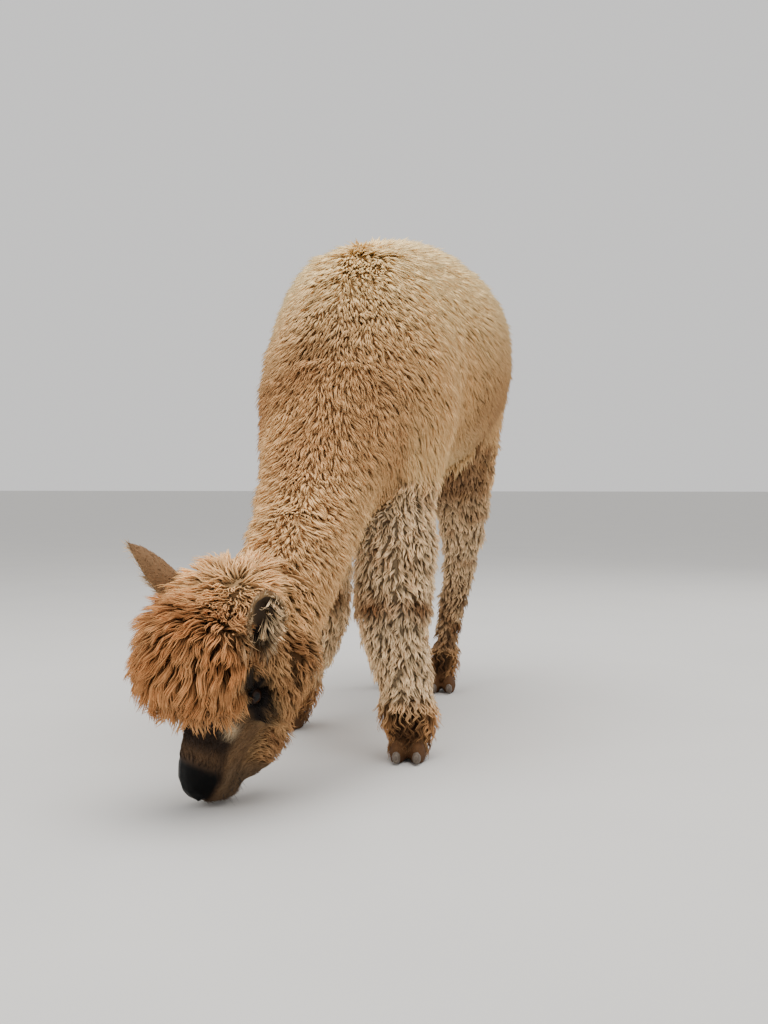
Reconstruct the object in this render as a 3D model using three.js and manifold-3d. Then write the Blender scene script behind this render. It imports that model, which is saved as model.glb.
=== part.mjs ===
// A huacaya alpaca grazing, life size, as a still model in its full fleece.
// Millimetres, +Z up. +X is the animal's left and -Y the way it faces. The solids
// reach out to the tips of the coat. The fleece is one smooth field of blended
// masses and limbs, meshed part by part and divided by thin flat cuts.
import * as THREE from "three";
import { mergeVertices } from "three/addons/utils/BufferGeometryUtils.js";
import Module from "manifold-3d";

const wasm = await Module();
wasm.setup();

// ---- driving dimensions -------------------------------------------------------
const LOIN_HEIGHT = 929; // top of the fleece over the loin
const BARREL_HALF_WIDTH = 229; // widest half of the fleeced barrel
const BELLY_HEIGHT = 464; // underside of the fleeced barrel
const EYE_HEIGHT = 163; // how high the grazing head holds its eyes
const HEAD_YAW = 32; // degrees that the head turns to the animal's right
const HEAD_PITCH = 15; // degrees that the nose swings forward of straight down
const HEAD_ROLL = 10; // degrees that the crown leans to the animal's left
const EAR_LENGTH = 158;
const EYE_RADIUS = 16.5;
const PARTING = 0.5; // gap left by each cut between two parts
const WELD = 0.03; // points closer than this are one
const NECK_CLEARANCE = 8; // crease left between the neck and the forelegs it passes
const TRUNK_BLEND = 70; // how softly the masses of the trunk run together
const LEG_BLEND = 34;
const HEAD_BLEND = 16;
const FINE_BLEND = 8;

// Mesh sizes: the length of a facet on each kind of part.
const TRUNK_FACET = 62;
const NECK_FACET = 45;
const HEAD_FACET = 27;
const MUZZLE_FACET = 18.5;
const LEG_FACET = 44;
const SHANK_FACET = 31;
const FOOT_FACET = 25;

const vec = (x, y, z) => new THREE.Vector3(x, y, z);
const rad = THREE.MathUtils.degToRad;

// ---- the head's own frame ---------------------------------------------------
// Head places are [left, dorsal, noseward] from the middle of the head between
// the eyes, so that the face is laid out as if it were looked at square on.
const HEAD_AT = vec(-106, -341, EYE_HEIGHT + 6);

function headAxes() {
  const facing = vec(-Math.sin(rad(HEAD_YAW)), -Math.cos(rad(HEAD_YAW)), 0);
  const left = vec(-facing.y, facing.x, 0);
  const nose = facing.clone().multiplyScalar(Math.sin(rad(HEAD_PITCH)));
  nose.z = -Math.cos(rad(HEAD_PITCH));
  const dorsal = facing.clone().multiplyScalar(Math.cos(rad(HEAD_PITCH)));
  dorsal.z = Math.sin(rad(HEAD_PITCH));
  for (const axis of [left, nose]) axis.applyAxisAngle(dorsal, -rad(HEAD_ROLL));
  return { left, dorsal, nose };
}

const HEAD = headAxes();

function headPoint(left, dorsal, nose) {
  return HEAD_AT.clone()
    .addScaledVector(HEAD.left, left)
    .addScaledVector(HEAD.dorsal, dorsal)
    .addScaledVector(HEAD.nose, nose);
}

// ---- shapes as distance fields -----------------------------------------------
// A mass is a rounded block or ellipsoid: power 2 is round, 3 is boxier.
function mass(x, y, z, at, half, power = 2) {
  const u = Math.abs(x - at[0]) / half[0];
  const v = Math.abs(y - at[1]) / half[1];
  const w = Math.abs(z - at[2]) / half[2];
  const size = (u ** power + v ** power + w ** power) ** (1 / power);
  if (size < 0.05) return -Math.min(...half);
  const steepness = Math.hypot(
    u ** (power - 1) / half[0],
    v ** (power - 1) / half[1],
    w ** (power - 1) / half[2],
  );
  return (size - 1) / (steepness / size ** (power - 1));
}

// One length of a limb, a cone with round ends from knot a to knot b, each
// [x, y, z, radius].
function limbLength(x, y, z, a, b) {
  const dx = b[0] - a[0];
  const dy = b[1] - a[1];
  const dz = b[2] - a[2];
  const share = ((x - a[0]) * dx + (y - a[1]) * dy + (z - a[2]) * dz) / (dx * dx + dy * dy + dz * dz);
  const t = Math.min(1, Math.max(0, share));
  const away = Math.hypot(x - a[0] - t * dx, y - a[1] - t * dy, z - a[2] - t * dz);
  return away - (a[3] + t * (b[3] - a[3]));
}

function softMin(a, b, blend) {
  const share = Math.max(blend - Math.abs(a - b), 0) / blend;
  return Math.min(a, b) - (share * share * blend) / 4;
}

const softMax = (a, b, blend) => -softMin(-a, -b, blend);

function limb(knots, blend) {
  return (x, y, z) => {
    let d = Infinity;
    for (let i = 1; i < knots.length; i++)
      d = softMin(d, limbLength(x, y, z, knots[i - 1], knots[i]), blend);
    return d;
  };
}

function masses(list, blend) {
  return (x, y, z) => list.reduce(
    (d, m) => softMin(d, mass(x, y, z, m.at, m.half, m.power), blend),
    Infinity,
  );
}

// ---- trunk and neck ----------------------------------------------------------
const BARREL_MIDDLE = (LOIN_HEIGHT + BELLY_HEIGHT) / 2;
const BARREL_HALF_HEIGHT = (LOIN_HEIGHT - BELLY_HEIGHT) / 2;

const trunkField = masses([
  { at: [0, 370, BARREL_MIDDLE], half: [BARREL_HALF_WIDTH, 330, BARREL_HALF_HEIGHT], power: 2.05 }, // barrel
  { at: [0, 600, BARREL_MIDDLE + 26], half: [210, 240, BARREL_HALF_HEIGHT - 42], power: 2.5 }, // rump
  { at: [0, 105, 690], half: [134, 190, 188] }, // withers
  { at: [0, 10, 590], half: [116, 140, 126] }, // chest
  { at: [84, 45, 585], half: [77, 110, 150] }, // left shoulder
  { at: [-80, 65, 585], half: [70, 110, 150] }, // right shoulder
  { at: [88, 652, 540], half: [80, 152, 160] }, // left thigh
  { at: [-88, 668, 540], half: [80, 152, 160] }, // right thigh
], TRUNK_BLEND);

const NECK = [
  [-16, 110, 700, 130],
  [-34, 15, 612, 116],
  [-44, -60, 492, 101],
  [-50, -125, 412, 89],
  [-54, -200, 347, 80],
  [-70, -268, 273, 78],
];
const neckField = limb(NECK, 20);

const TAIL = [
  [0, 815, 800, 44],
  [0, 858, 760, 46],
  [0, 880, 690, 44],
  [0, 884, 620, 30],
];
const tailField = limb(TAIL, 12);

// ---- legs ------------------------------------------------------------------
// Knots run down each leg: the top in the trunk, elbow or stifle, forearm or
// gaskin, knee or hock, shank, fetlock and the pastern above the toes.
const LEGS = {
  fore_left: {
    knots: [
      [70, 32, 560, 80],
      [60, 26, 440, 71],
      [67, 12, 346, 71],
      [64, 6, 287, 69],
      [64, 3, 253, 64],
      [66, 2, 209, 58],
      [73, 2, 176, 52],
      [79, 2, 143, 48],
      [85, 0, 110, 44],
      [91, -3, 77, 42],
      [92, -8, 42, 34],
    ],
    cuts: { top: 470, knee: 258, fetlock: 98 },
    footYaw: 4,
  },
  fore_right: {
    knots: [
      [-88, 80, 560, 82],
      [-100, 96, 440, 78],
      [-108, 110, 321, 77],
      [-109, 135, 257, 71],
      [-110, 152, 219, 65],
      [-121, 172, 176, 57],
      [-137, 186, 146, 51],
      [-154, 205, 99, 45],
      [-165, 218, 67, 39],
      [-170, 226, 42, 32],
    ],
    cuts: { top: 470, knee: 254, fetlock: 98 },
    footYaw: -10,
  },
  hind_left: {
    knots: [
      [94, 640, 640, 96],
      [98, 640, 560, 84],
      [104, 655, 470, 69],
      [107, 668, 400, 56],
      [106, 684, 340, 48],
      [93, 710, 270, 38],
      [78, 722, 195, 33],
      [68, 708, 130, 29],
      [60, 690, 70, 29],
      [58, 680, 42, 25],
    ],
    cuts: { top: 548, knee: 288, fetlock: 92 },
    footYaw: 6,
  },
  hind_right: {
    knots: [
      [-94, 652, 640, 96],
      [-98, 668, 560, 84],
      [-104, 692, 470, 69],
      [-105, 708, 400, 56],
      [-102, 726, 340, 48],
      [-89, 752, 270, 38],
      [-74, 762, 195, 33],
      [-64, 748, 130, 29],
      [-56, 730, 70, 29],
      [-54, 720, 42, 25],
    ],
    cuts: { top: 548, knee: 288, fetlock: 92 },
    footYaw: -6,
  },
};

const legFields = Object.fromEntries(
  Object.entries(LEGS).map(([name, leg]) => [name, limb(leg.knots, 14)]),
);

// ---- head ------------------------------------------------------------------
// Centre and half-sizes in the head's frame.
const CRANIUM = { at: [0, 2, -50], half: [63, 63, 71] };
const TOPKNOT = { at: [-2, 68, -34], half: [94, 102, 90], power: 2.2 };
const FRINGE = { at: [-24, 90, 14], half: [62, 64, 46] };
const HEAD_MASSES = [
  CRANIUM,
  { at: [-16, 44, -114], half: [80, 68, 70] }, // nape between the ears
  { at: [0, -36, -44], half: [59, 50, 62] }, // throat
  { at: [54, -33, -14], half: [33, 40, 56] }, // left cheek
  { at: [-54, -33, -14], half: [33, 40, 56] }, // right cheek
  { at: [56, -46, -62], half: [32, 38, 44] }, // wool behind the left cheek
  { at: [-60, -46, -62], half: [32, 38, 44] }, // wool behind the right cheek
  { at: [0, -64, 56], half: [46, 52, 56] }, // wool under the jaw
];
const MUZZLE_MASSES = [
  { at: [0, 12, 34], half: [52, 50, 62] }, // face below the eyes
  { at: [-1, 8, 86], half: [40, 41, 60], power: 2.3 }, // bridge of the nose
  { at: [1, 6, 132], half: [35, 36, 39], power: 2.4 }, // nose and upper lip
];
const JAW_MASSES = [
  { at: [0, -31, 52], half: [34, 26, 62] }, // jaw
  { at: [4, -50, 90], half: [34, 40, 40] }, // hair along the jaw
  { at: [0, -29, 134], half: [29, 27, 40] }, // chin and lower lip
];
const EYE_OUT = 42; // how far each eye's middle lies from the middle of the head
const EYE_DORSAL = 3;
const EYE_HOLLOW = { out: 72, dorsal: -3, nose: 5, half: [30, 17, 26] };

const craniumField = masses(HEAD_MASSES, HEAD_BLEND * 1.6);
const muzzleField = masses(MUZZLE_MASSES, HEAD_BLEND * 1.5);
const jawField = masses(JAW_MASSES, HEAD_BLEND);

function headField(x, y, z) {
  const place = vec(x, y, z).sub(HEAD_AT);
  const l = place.dot(HEAD.left);
  const d = place.dot(HEAD.dorsal);
  const n = place.dot(HEAD.nose);
  const face = softMin(muzzleField(l, d, n), jawField(l, d, n), FINE_BLEND);
  const bare = softMin(craniumField(l, d, n), face, HEAD_BLEND);
  const topknot = mass(l, d, n, TOPKNOT.at, TOPKNOT.half, TOPKNOT.power);
  const fringe = mass(l, d, n, FRINGE.at, FRINGE.half);
  const wool = softMin(bare, softMin(topknot, fringe, HEAD_BLEND), FINE_BLEND);
  const { out, dorsal, nose, half } = EYE_HOLLOW;
  const hollow = mass(Math.abs(l), d, n, [out, dorsal, nose], half);
  return softMax(wool, -hollow, FINE_BLEND);
}

// ---- the coat as two fields that cross without blending --------------------------
function foreField(x, y, z) {
  const neck = softMin(trunkField(x, y, z), neckField(x, y, z), TRUNK_BLEND);
  return softMin(neck, headField(x, y, z), HEAD_BLEND * 1.5);
}

function standingField(x, y, z) {
  const trunk = trunkField(x, y, z);
  let legs = trunk;
  for (const field of Object.values(legFields)) legs = softMin(legs, field(x, y, z), LEG_BLEND);
  return Math.min(legs, softMin(trunk, tailField(x, y, z), LEG_BLEND));
}

const wholeField = (x, y, z) => Math.min(foreField(x, y, z), standingField(x, y, z));

// ---- meshing -----------------------------------------------------------------
function slopeAt(field, p, step = 0.5) {
  return vec(
    field(p.x + step, p.y, p.z) - field(p.x - step, p.y, p.z),
    field(p.x, p.y + step, p.z) - field(p.x, p.y - step, p.z),
    field(p.x, p.y, p.z + step) - field(p.x, p.y, p.z - step),
  ).divideScalar(2 * step);
}

// Moves a point towards the surface where the field is zero, but not out of its cell.
function settle(field, p, cell) {
  for (let i = 0; i < 4; i++) {
    const slope = slopeAt(field, p);
    p.addScaledVector(slope, -field(p.x, p.y, p.z) / Math.max(slope.lengthSq(), 0.1));
    cell.clampPoint(p, p);
  }
}

// Where opposite corners of a grid square are in and the other two out, two sheets
// of the surface would meet on one edge, so the nearest corner changes sides.
function untangle(values, stride) {
  let changed = true;
  for (let pass = 0; changed && pass < 8; pass++) {
    changed = false;
    for (let here = 0; here < values.length; here++)
      for (let axis = 0; axis < 3; axis++) {
        const u = stride[(axis + 1) % 3];
        const v = stride[(axis + 2) % 3];
        const square = [here, here + u, here + u + v, here + v];
        const inside = square.map((corner) => values[corner] < 0);
        if (inside[0] !== inside[2] || inside[1] !== inside[3] || inside[0] === inside[1]) continue;
        const nearest = square.reduce((a, b) => (Math.abs(values[b]) < Math.abs(values[a]) ? b : a));
        values[nearest] = values[nearest] < 0 ? 1e-3 : -1e-3;
        changed = true;
      }
  }
}

// A closed mesh of the field's surface inside a box, one vertex in each cell that
// the surface crosses, with quads between neighbouring cells.
function meshField(coat, low, high, facet) {
  const field = (x, y, z) => Math.max(
    coat(x, y, z),
    low[0] - x, x - high[0], low[1] - y, y - high[1], low[2] - z, z - high[2],
  );
  const origin = low.map((v) => v - 1.37 * facet);
  const count = high.map((v, i) => Math.ceil((v + 1.37 * facet - origin[i]) / facet) + 1);
  const gridIndex = (i, j, k) => i + count[0] * (j + count[1] * k);
  const values = new Float64Array(count[0] * count[1] * count[2]);
  for (let k = 0; k < count[2]; k++)
    for (let j = 0; j < count[1]; j++)
      for (let i = 0; i < count[0]; i++)
        values[gridIndex(i, j, k)] = field(...[i, j, k].map((step, axis) => origin[axis] + step * facet));

  const stride = [1, count[0], count[0] * count[1]];
  untangle(values, stride);

  const corners = [0, 1, 2, 3, 4, 5, 6, 7].map((c) => [c & 1, (c >> 1) & 1, c >> 2]);
  const positions = [];
  const cellVertex = new Int32Array(values.length).fill(-1);
  for (let k = 0; k < count[2] - 1; k++)
    for (let j = 0; j < count[1] - 1; j++)
      for (let i = 0; i < count[0] - 1; i++) {
        const sum = vec(0, 0, 0);
        let crossings = 0;
        for (const a of corners)
          for (let axis = 0; axis < 3; axis++) {
            if (a[axis]) continue;
            const b = a.with(axis, 1);
            const va = values[gridIndex(i + a[0], j + a[1], k + a[2])];
            const vb = values[gridIndex(i + b[0], j + b[1], k + b[2])];
            if (va < 0 === vb < 0) continue;
            const t = va / (va - vb);
            sum.add(vec(...a.map((v, n) => v + t * (b[n] - v))));
            crossings++;
          }
        if (!crossings) continue;
        const corner = vec(i, j, k).multiplyScalar(facet).add(vec(...origin));
        const p = sum.multiplyScalar(facet / crossings).add(corner);
        const cell = new THREE.Box3(corner, corner.clone().addScalar(facet)).expandByScalar(-0.04 * facet);
        settle(field, p, cell);
        cellVertex[gridIndex(i, j, k)] = positions.length / 3;
        positions.push(p.x, p.y, p.z);
      }

  const triangles = [];
  for (let k = 1; k < count[2] - 1; k++)
    for (let j = 1; j < count[1] - 1; j++)
      for (let i = 1; i < count[0] - 1; i++)
        for (let axis = 0; axis < 3; axis++) {
          const here = gridIndex(i, j, k);
          const inside = values[here] < 0;
          if (inside === values[here + stride[axis]] < 0) continue;
          const u = stride[(axis + 1) % 3];
          const v = stride[(axis + 2) % 3];
          const quad = [here, here - u, here - u - v, here - v].map((cell) => cellVertex[cell]);
          if (!inside) quad.reverse();
          triangles.push(quad[0], quad[1], quad[2], quad[0], quad[2], quad[3]);
        }
  const geometry = new THREE.BufferGeometry();
  geometry.setAttribute("position", new THREE.Float32BufferAttribute(positions, 3));
  geometry.setIndex(triangles);
  return solidOf(geometry);
}

// ---- solids ------------------------------------------------------------------
function solidOf(geometry) {
  const bare = geometry.clone();
  bare.deleteAttribute("normal");
  bare.deleteAttribute("uv");
  const merged = mergeVertices(bare, 1e-3);
  return new wasm.Manifold(new wasm.Mesh({
    numProp: 3,
    vertProperties: merged.attributes.position.array,
    triVerts: new Uint32Array(merged.index.array),
  }));
}

// The solid's mesh with the crumbs of its cuts welded: points closer than the weld
// become one, and faces that this folds flat against each other are dropped.
function geometryOf(solid) {
  const mesh = solid.getMesh();
  const cut = new THREE.BufferGeometry();
  cut.setAttribute("position", new THREE.BufferAttribute(mesh.vertProperties, 3));
  cut.setIndex(new THREE.BufferAttribute(mesh.triVerts, 1));
  const welded = mergeVertices(cut, WELD);
  const faces = new Map();
  for (let i = 0; i < welded.index.count; i += 3) {
    const face = [welded.index.getX(i), welded.index.getX(i + 1), welded.index.getX(i + 2)];
    if (new Set(face).size < 3) continue;
    const key = face.toSorted().join();
    if (!faces.delete(key)) faces.set(key, face);
  }
  return welded.setIndex([...faces.values()].flat());
}

// The largest separate body of a solid, so that no crumb is left by a cut.
function mainBody(solid) {
  return solid.decompose().reduce((a, b) => (b.volume() > a.volume() ? b : a));
}

// A solid cut clear of its neighbour, with a parting left along each direction.
function clearOf(solid, neighbour, ...directions) {
  return directions.reduce(
    (rest, way) => rest.subtract(neighbour.translate(way.clone().multiplyScalar(PARTING).toArray())),
    solid.subtract(neighbour),
  );
}

// A box that starts at a point and runs along a direction, for cutting. The
// second direction is the side across it that reach[1] and reach[2] measure.
function cutter(start, along, across, length, reach, grow = 0) {
  const w = along.clone().normalize();
  const v = across.clone().addScaledVector(w, -across.dot(w)).normalize();
  const u = v.clone().cross(w);
  const box = new THREE.BoxGeometry(2 * (reach[0] + grow), reach[1] + reach[2] + 2 * grow, length + 2 * grow);
  box.translate(0, (reach[2] - reach[1]) / 2, length / 2);
  box.applyMatrix4(new THREE.Matrix4().makeBasis(u, v, w).setPosition(start));
  return solidOf(box);
}

function uprightBox(low, high, grow = 0) {
  const box = new THREE.BoxGeometry(...high.map((v, i) => v - low[i] + 2 * grow));
  box.translate(...high.map((v, i) => (v + low[i]) / 2));
  return solidOf(box);
}

const BACKWARD = vec(0, 1, 0);
const DOWN = vec(0, 0, -1);

// Where the neck leaves the trunk, and where the head leaves the neck.
const neckCut = (grow) => cutter(
  vec(-44, -22, 590), vec(-8, -70, -96), BACKWARD, 480, [150, 178, 170], grow,
);
const headCut = (grow) => cutter(
  vec(-66, -252, 300), vec(-30, -62, -92), BACKWARD, 480, [230, 330, 132], grow,
);
const tailCut = (grow) => uprightBox([-80, 846, 540], [80, 960, 830], grow);

const LEG_BOUNDS = {
  fore_left: [[-16, -95], [270, 150]],
  fore_right: [[-290, -70], [-16 - PARTING, 330]],
  hind_left: [[PARTING / 2, 500], [270, 880]],
  hind_right: [[-270, 500], [-PARTING / 2, 880]],
};

function legCut(name, from, to, grow) {
  const [low, high] = LEG_BOUNDS[name];
  return uprightBox([...low, from], [...high, to], grow);
}

// ---- the fleshy parts --------------------------------------------------------
const parts = new THREE.Group();

function addPart(name, solid, look) {
  const mesh = new THREE.Mesh(geometryOf(mainBody(solid)), look);
  mesh.name = name;
  parts.add(mesh);
}

const finish = (color, roughness) => new THREE.MeshStandardMaterial({ color, roughness, metalness: 0 });
const FLEECE = finish(0xc9a577, 0.95);
const LEG_WOOL = finish(0xb59c7a, 0.95);
const GINGER = finish(0xb27a45, 0.95);
const MUZZLE = finish(0x4a3a2e, 0.85);
const EAR = finish(0x9b7c63, 0.9);
const EYE = finish(0x0b0806, 0.1);
const TOE = finish(0x4b4038, 0.8);
const NAIL = finish(0xa3968a, 0.5);

// The neck, and the space kept clear around it where it passes the forelegs.
const NECK_BOX = [[-220, -400, 160], [190, 175, 760]];
const neckRoom = meshField((x, y, z) => foreField(x, y, z) - NECK_CLEARANCE, ...NECK_BOX, NECK_FACET)
  .intersect(neckCut(PARTING));
const neck = meshField(foreField, ...NECK_BOX, NECK_FACET).intersect(neckCut(0)).subtract(headCut(PARTING));
addPart("neck", neck, FLEECE);

const BELOW_FLOOR = -30;
const trunk = [
  neckRoom, tailCut(PARTING),
  ...Object.entries(LEGS).map(([name, leg]) => legCut(name, BELOW_FLOOR, leg.cuts.top, PARTING)),
].reduce(
  (solid, cut) => solid.subtract(cut),
  meshField(wholeField, [-270, -170, 430], [270, 900, 1000], TRUNK_FACET),
);
addPart("trunk", trunk, FLEECE);
const tail = meshField(standingField, [-80, 800, 540], [80, 950, 850], LEG_FACET).intersect(tailCut(0));
addPart("tail", tail, FLEECE);

for (const [name, leg] of Object.entries(LEGS)) {
  const [low, high] = LEG_BOUNDS[name];
  const { top, knee, fetlock } = leg.cuts;
  const length = (from, to, facet) => meshField(
    standingField, [...low, from - facet], [...high, to + facet], facet,
  ).intersect(legCut(name, from, to, 0));
  const upperLeg = length(knee + PARTING, top, LEG_FACET).subtract(neckRoom);
  addPart(`${name}_leg`, upperLeg, LEG_WOOL);
  addPart(`${name}_shank`, length(fetlock + PARTING, knee, SHANK_FACET), LEG_WOOL);
}

// ---- head, muzzle, jaw, ears and eyes ------------------------------------------
const MUZZLE_FROM = 34; // where the bare muzzle starts, towards the nose from the eyes
const MOUTH_DORSAL = -20; // where the mouth divides the muzzle from the jaw
const CHIN_LIFT = 3; // the lips stay this far off the ground
const nosePart = (grow) => cutter(
  headPoint(0, 0, MUZZLE_FROM), HEAD.nose, HEAD.dorsal, 200, [64, 130, 62], grow,
);
const jawPart = (grow) => cutter(
  headPoint(0, MOUTH_DORSAL, MUZZLE_FROM - 10), HEAD.dorsal.clone().negate(), HEAD.nose,
  160, [110, 60, 190], grow,
);

const HEAD_BOX = [[-330, -560, -10], [90, -120, 420]];
const headMesh = meshField(foreField, ...HEAD_BOX, HEAD_FACET).intersect(headCut(0));
const eyeAt = (side) => headPoint(side * EYE_OUT, EYE_DORSAL, 0);

function eyeball(side, radius) {
  const ball = new THREE.SphereGeometry(radius, 12, 8);
  return solidOf(ball.translate(...eyeAt(side)));
}

let headSolid = headMesh.subtract(nosePart(PARTING));
for (const side of [1, -1]) headSolid = headSolid.subtract(eyeball(side, EYE_RADIUS + PARTING));
addPart("head", headSolid, GINGER);

const muzzleMesh = meshField(foreField, [-330, -560, CHIN_LIFT], [90, -120, 200], MUZZLE_FACET);
addPart("muzzle", muzzleMesh.intersect(nosePart(0)).subtract(jawPart(PARTING)), MUZZLE);
addPart("jaw", muzzleMesh.intersect(nosePart(0)).intersect(jawPart(0)), MUZZLE);
addPart("eye_left", eyeball(1, EYE_RADIUS), EYE);
addPart("eye_right", eyeball(-1, EYE_RADIUS), EYE);

// An ear is a cupped leaf: open at the front, rolled to a tube at its root, and
// drawn out to a point that curves in towards the other ear.
const EAR_ROOT = { out: 58, dorsal: 38, nose: -84 };
const EAR_LEANS = { left: [0.68, 0.62, -0.4], right: [-0.52, 0.76, -0.4] };
const EAR_HALF_WIDTH = 31;
const EAR_THICKNESS = 7;
const EAR_STEPS = 8;
const EAR_SPOKES = 6;

function earPoint(t, s, inset) {
  const width = (EAR_HALF_WIDTH * (0.62 + 1.1 * t) * (1 - t ** 2.6) ** 0.75) / 1.18 - inset * 0.5;
  const wrap = rad(128 - 62 * t);
  const angle = s * wrap;
  const across = Math.max(width, 0.8) * Math.sin(angle);
  const back = Math.max(width, 0.8) * (1 - Math.cos(angle)) * 0.85 - width * 0.5;
  const bend = 14 * t * t;
  return { across, depth: -back - inset, along: t * (EAR_LENGTH - inset), bend };
}

function ear(side, lean) {
  const axis = headPoint(...lean).sub(HEAD_AT).normalize();
  const inward = HEAD.left.clone().multiplyScalar(-side);
  inward.addScaledVector(axis, -inward.dot(axis)).normalize();
  const facing = axis.clone().cross(inward).multiplyScalar(side).normalize();
  // The cup opens outwards and a little forward.
  const opening = inward.clone().multiplyScalar(-0.75).addScaledVector(facing, 0.66).normalize();
  const across = opening.clone().cross(axis).normalize();
  const root = headPoint(side * EAR_ROOT.out, EAR_ROOT.dorsal, EAR_ROOT.nose);
  const positions = [];
  for (const inset of [0, EAR_THICKNESS])
    for (let i = 0; i <= EAR_STEPS; i++)
      for (let j = 0; j <= EAR_SPOKES; j++) {
        const p = earPoint(i / EAR_STEPS, (2 * j) / EAR_SPOKES - 1, inset);
        const at = root.clone().addScaledVector(axis, p.along).addScaledVector(across, p.across)
          .addScaledVector(opening, -p.depth).addScaledVector(inward, p.bend);
        positions.push(at.x, at.y, at.z);
      }
  const row = EAR_SPOKES + 1;
  const sheet = (EAR_STEPS + 1) * row;
  const triangles = [];
  const quad = (a, b, c, d) => triangles.push(a, b, c, a, c, d);
  for (let i = 0; i < EAR_STEPS; i++) {
    for (let j = 0; j < EAR_SPOKES; j++) {
      const a = i * row + j;
      quad(a, a + 1, a + row + 1, a + row);
      quad(sheet + a, sheet + a + row, sheet + a + row + 1, sheet + a + 1);
    }
    const edge = i * row;
    quad(edge, edge + row, sheet + edge + row, sheet + edge);
    const other = edge + EAR_SPOKES;
    quad(other, sheet + other, sheet + other + row, other + row);
  }
  const last = EAR_STEPS * row;
  for (let j = 0; j < EAR_SPOKES; j++) {
    quad(j, sheet + j, sheet + j + 1, j + 1);
    quad(last + j, last + j + 1, sheet + last + j + 1, sheet + last + j);
  }
  const geometry = new THREE.BufferGeometry();
  geometry.setAttribute("position", new THREE.Float32BufferAttribute(positions, 3));
  geometry.setIndex(triangles);
  const solid = solidOf(geometry);
  const facingOut = solid.volume() > 0 ? solid : solidOf(geometry.setIndex(triangles.reverse()));
  return clearOf(facingOut, headSolid, axis, opening);
}

addPart("ear_left", ear(1, EAR_LEANS.left), EAR);
addPart("ear_right", ear(-1, EAR_LEANS.right), EAR);

// ---- feet: a pastern, two padded toes and a nail on each toe ---------------------
const TOE_HALF = [15.5, 37, 25];
const TOE_SPREAD = 16.5;
const TOE_FORWARD = 20;
const TOE_HEIGHT = 15;
const SOLE_LIFT = 12; // the wool of the pastern stays this far off the ground
const NAIL_HALF = [7.5, 17, 10];

function ellipsoid(half, segments, rings) {
  return new THREE.SphereGeometry(1, segments, rings).scale(...half);
}

for (const [name, leg] of Object.entries(LEGS)) {
  const [low, high] = LEG_BOUNDS[name];
  const { fetlock } = leg.cuts;
  const pastern = leg.knots.at(-1);
  const footTurn = new THREE.Matrix4().makeRotationZ(rad(leg.footYaw));
  const place = (geometry, out, forward, height) => geometry.translate(out, -forward, height)
    .applyMatrix4(footTurn).translate(pastern[0], pastern[1], 0);
  const ahead = vec(0, -1, 0).applyMatrix4(footTurn);
  const above = uprightBox([...low, 0], [...high, 200]);
  const foot = meshField(
    standingField, [...low, 0], [...high, fetlock + FOOT_FACET], FOOT_FACET,
  ).intersect(legCut(name, SOLE_LIFT, fetlock, 0));
  addPart(`${name}_foot`, foot, LEG_WOOL);
  const outwards = Math.sign(low[0] + high[0]);
  for (const [toeName, side] of [["outer", outwards], ["inner", -outwards]]) {
    const pad = solidOf(place(ellipsoid(TOE_HALF, 8, 6), side * TOE_SPREAD, TOE_FORWARD, TOE_HEIGHT));
    const toe = clearOf(pad.intersect(above), foot, ahead, DOWN);
    addPart(`${name}_toe_${toeName}`, toe, TOE);
    const claw = solidOf(place(
      ellipsoid(NAIL_HALF, 7, 4), side * TOE_SPREAD, TOE_FORWARD + TOE_HALF[1] - 8, TOE_HEIGHT - 3,
    ));
    addPart(`${name}_nail_${toeName}`, clearOf(claw.intersect(above), toe, ahead), NAIL);
  }
}

// ---- the row frame: the origin is on the floor under the middle of the bounds ---
const bounds = new THREE.Box3().setFromObject(parts);
const middle = bounds.getCenter(vec(0, 0, 0));
parts.position.set(-middle.x, -middle.y, 0);
const alpaca = new THREE.Group();
alpaca.add(parts);
export default alpaca;
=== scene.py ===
"""Grazing alpaca: one skin, its eyes and nails, and the fleece laid over it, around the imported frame."""

import math

import bmesh
import bpy
import numpy as np
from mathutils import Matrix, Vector
from mathutils.bvhtree import BVHTree
from mathutils.kdtree import KDTree


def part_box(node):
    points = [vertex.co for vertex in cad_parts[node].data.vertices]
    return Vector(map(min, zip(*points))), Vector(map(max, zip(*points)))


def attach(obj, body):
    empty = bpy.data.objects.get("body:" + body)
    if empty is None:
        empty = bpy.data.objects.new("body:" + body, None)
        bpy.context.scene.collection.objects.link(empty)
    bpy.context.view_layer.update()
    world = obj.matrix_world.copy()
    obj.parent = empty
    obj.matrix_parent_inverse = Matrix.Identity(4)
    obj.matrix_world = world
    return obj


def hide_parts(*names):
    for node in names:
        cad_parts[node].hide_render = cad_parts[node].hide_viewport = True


bl_info = {
    "name": "Grazing Alpaca",
    "version": (1, 0, 0),
    "blender": (4, 5, 0),
    "location": "View3D > Sidebar > Alpaca",
    "description": "Builds the skin, eyes, nails and fleece of a grazing alpaca over its solids",
    "category": "Object",
}

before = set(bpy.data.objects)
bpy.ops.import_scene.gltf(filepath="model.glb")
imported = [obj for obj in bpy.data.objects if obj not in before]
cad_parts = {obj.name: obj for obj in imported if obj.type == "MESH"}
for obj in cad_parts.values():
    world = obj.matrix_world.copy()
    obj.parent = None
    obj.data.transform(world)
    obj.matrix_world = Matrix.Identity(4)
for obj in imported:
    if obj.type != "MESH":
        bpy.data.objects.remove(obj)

MM = 0.001
SEED = 41
VOXEL = 3.5 * MM
OVERLAP = 1.0 * MM
SKIN_TRIANGLES = 170_000
PIECE_TRIANGLES = 195_000

EYE_NODES = ("eye_left", "eye_right")
NAIL_NODES = tuple(sorted(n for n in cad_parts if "_nail_" in n))
FLESH_NODES = tuple(sorted(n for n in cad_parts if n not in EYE_NODES + NAIL_NODES))

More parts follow.
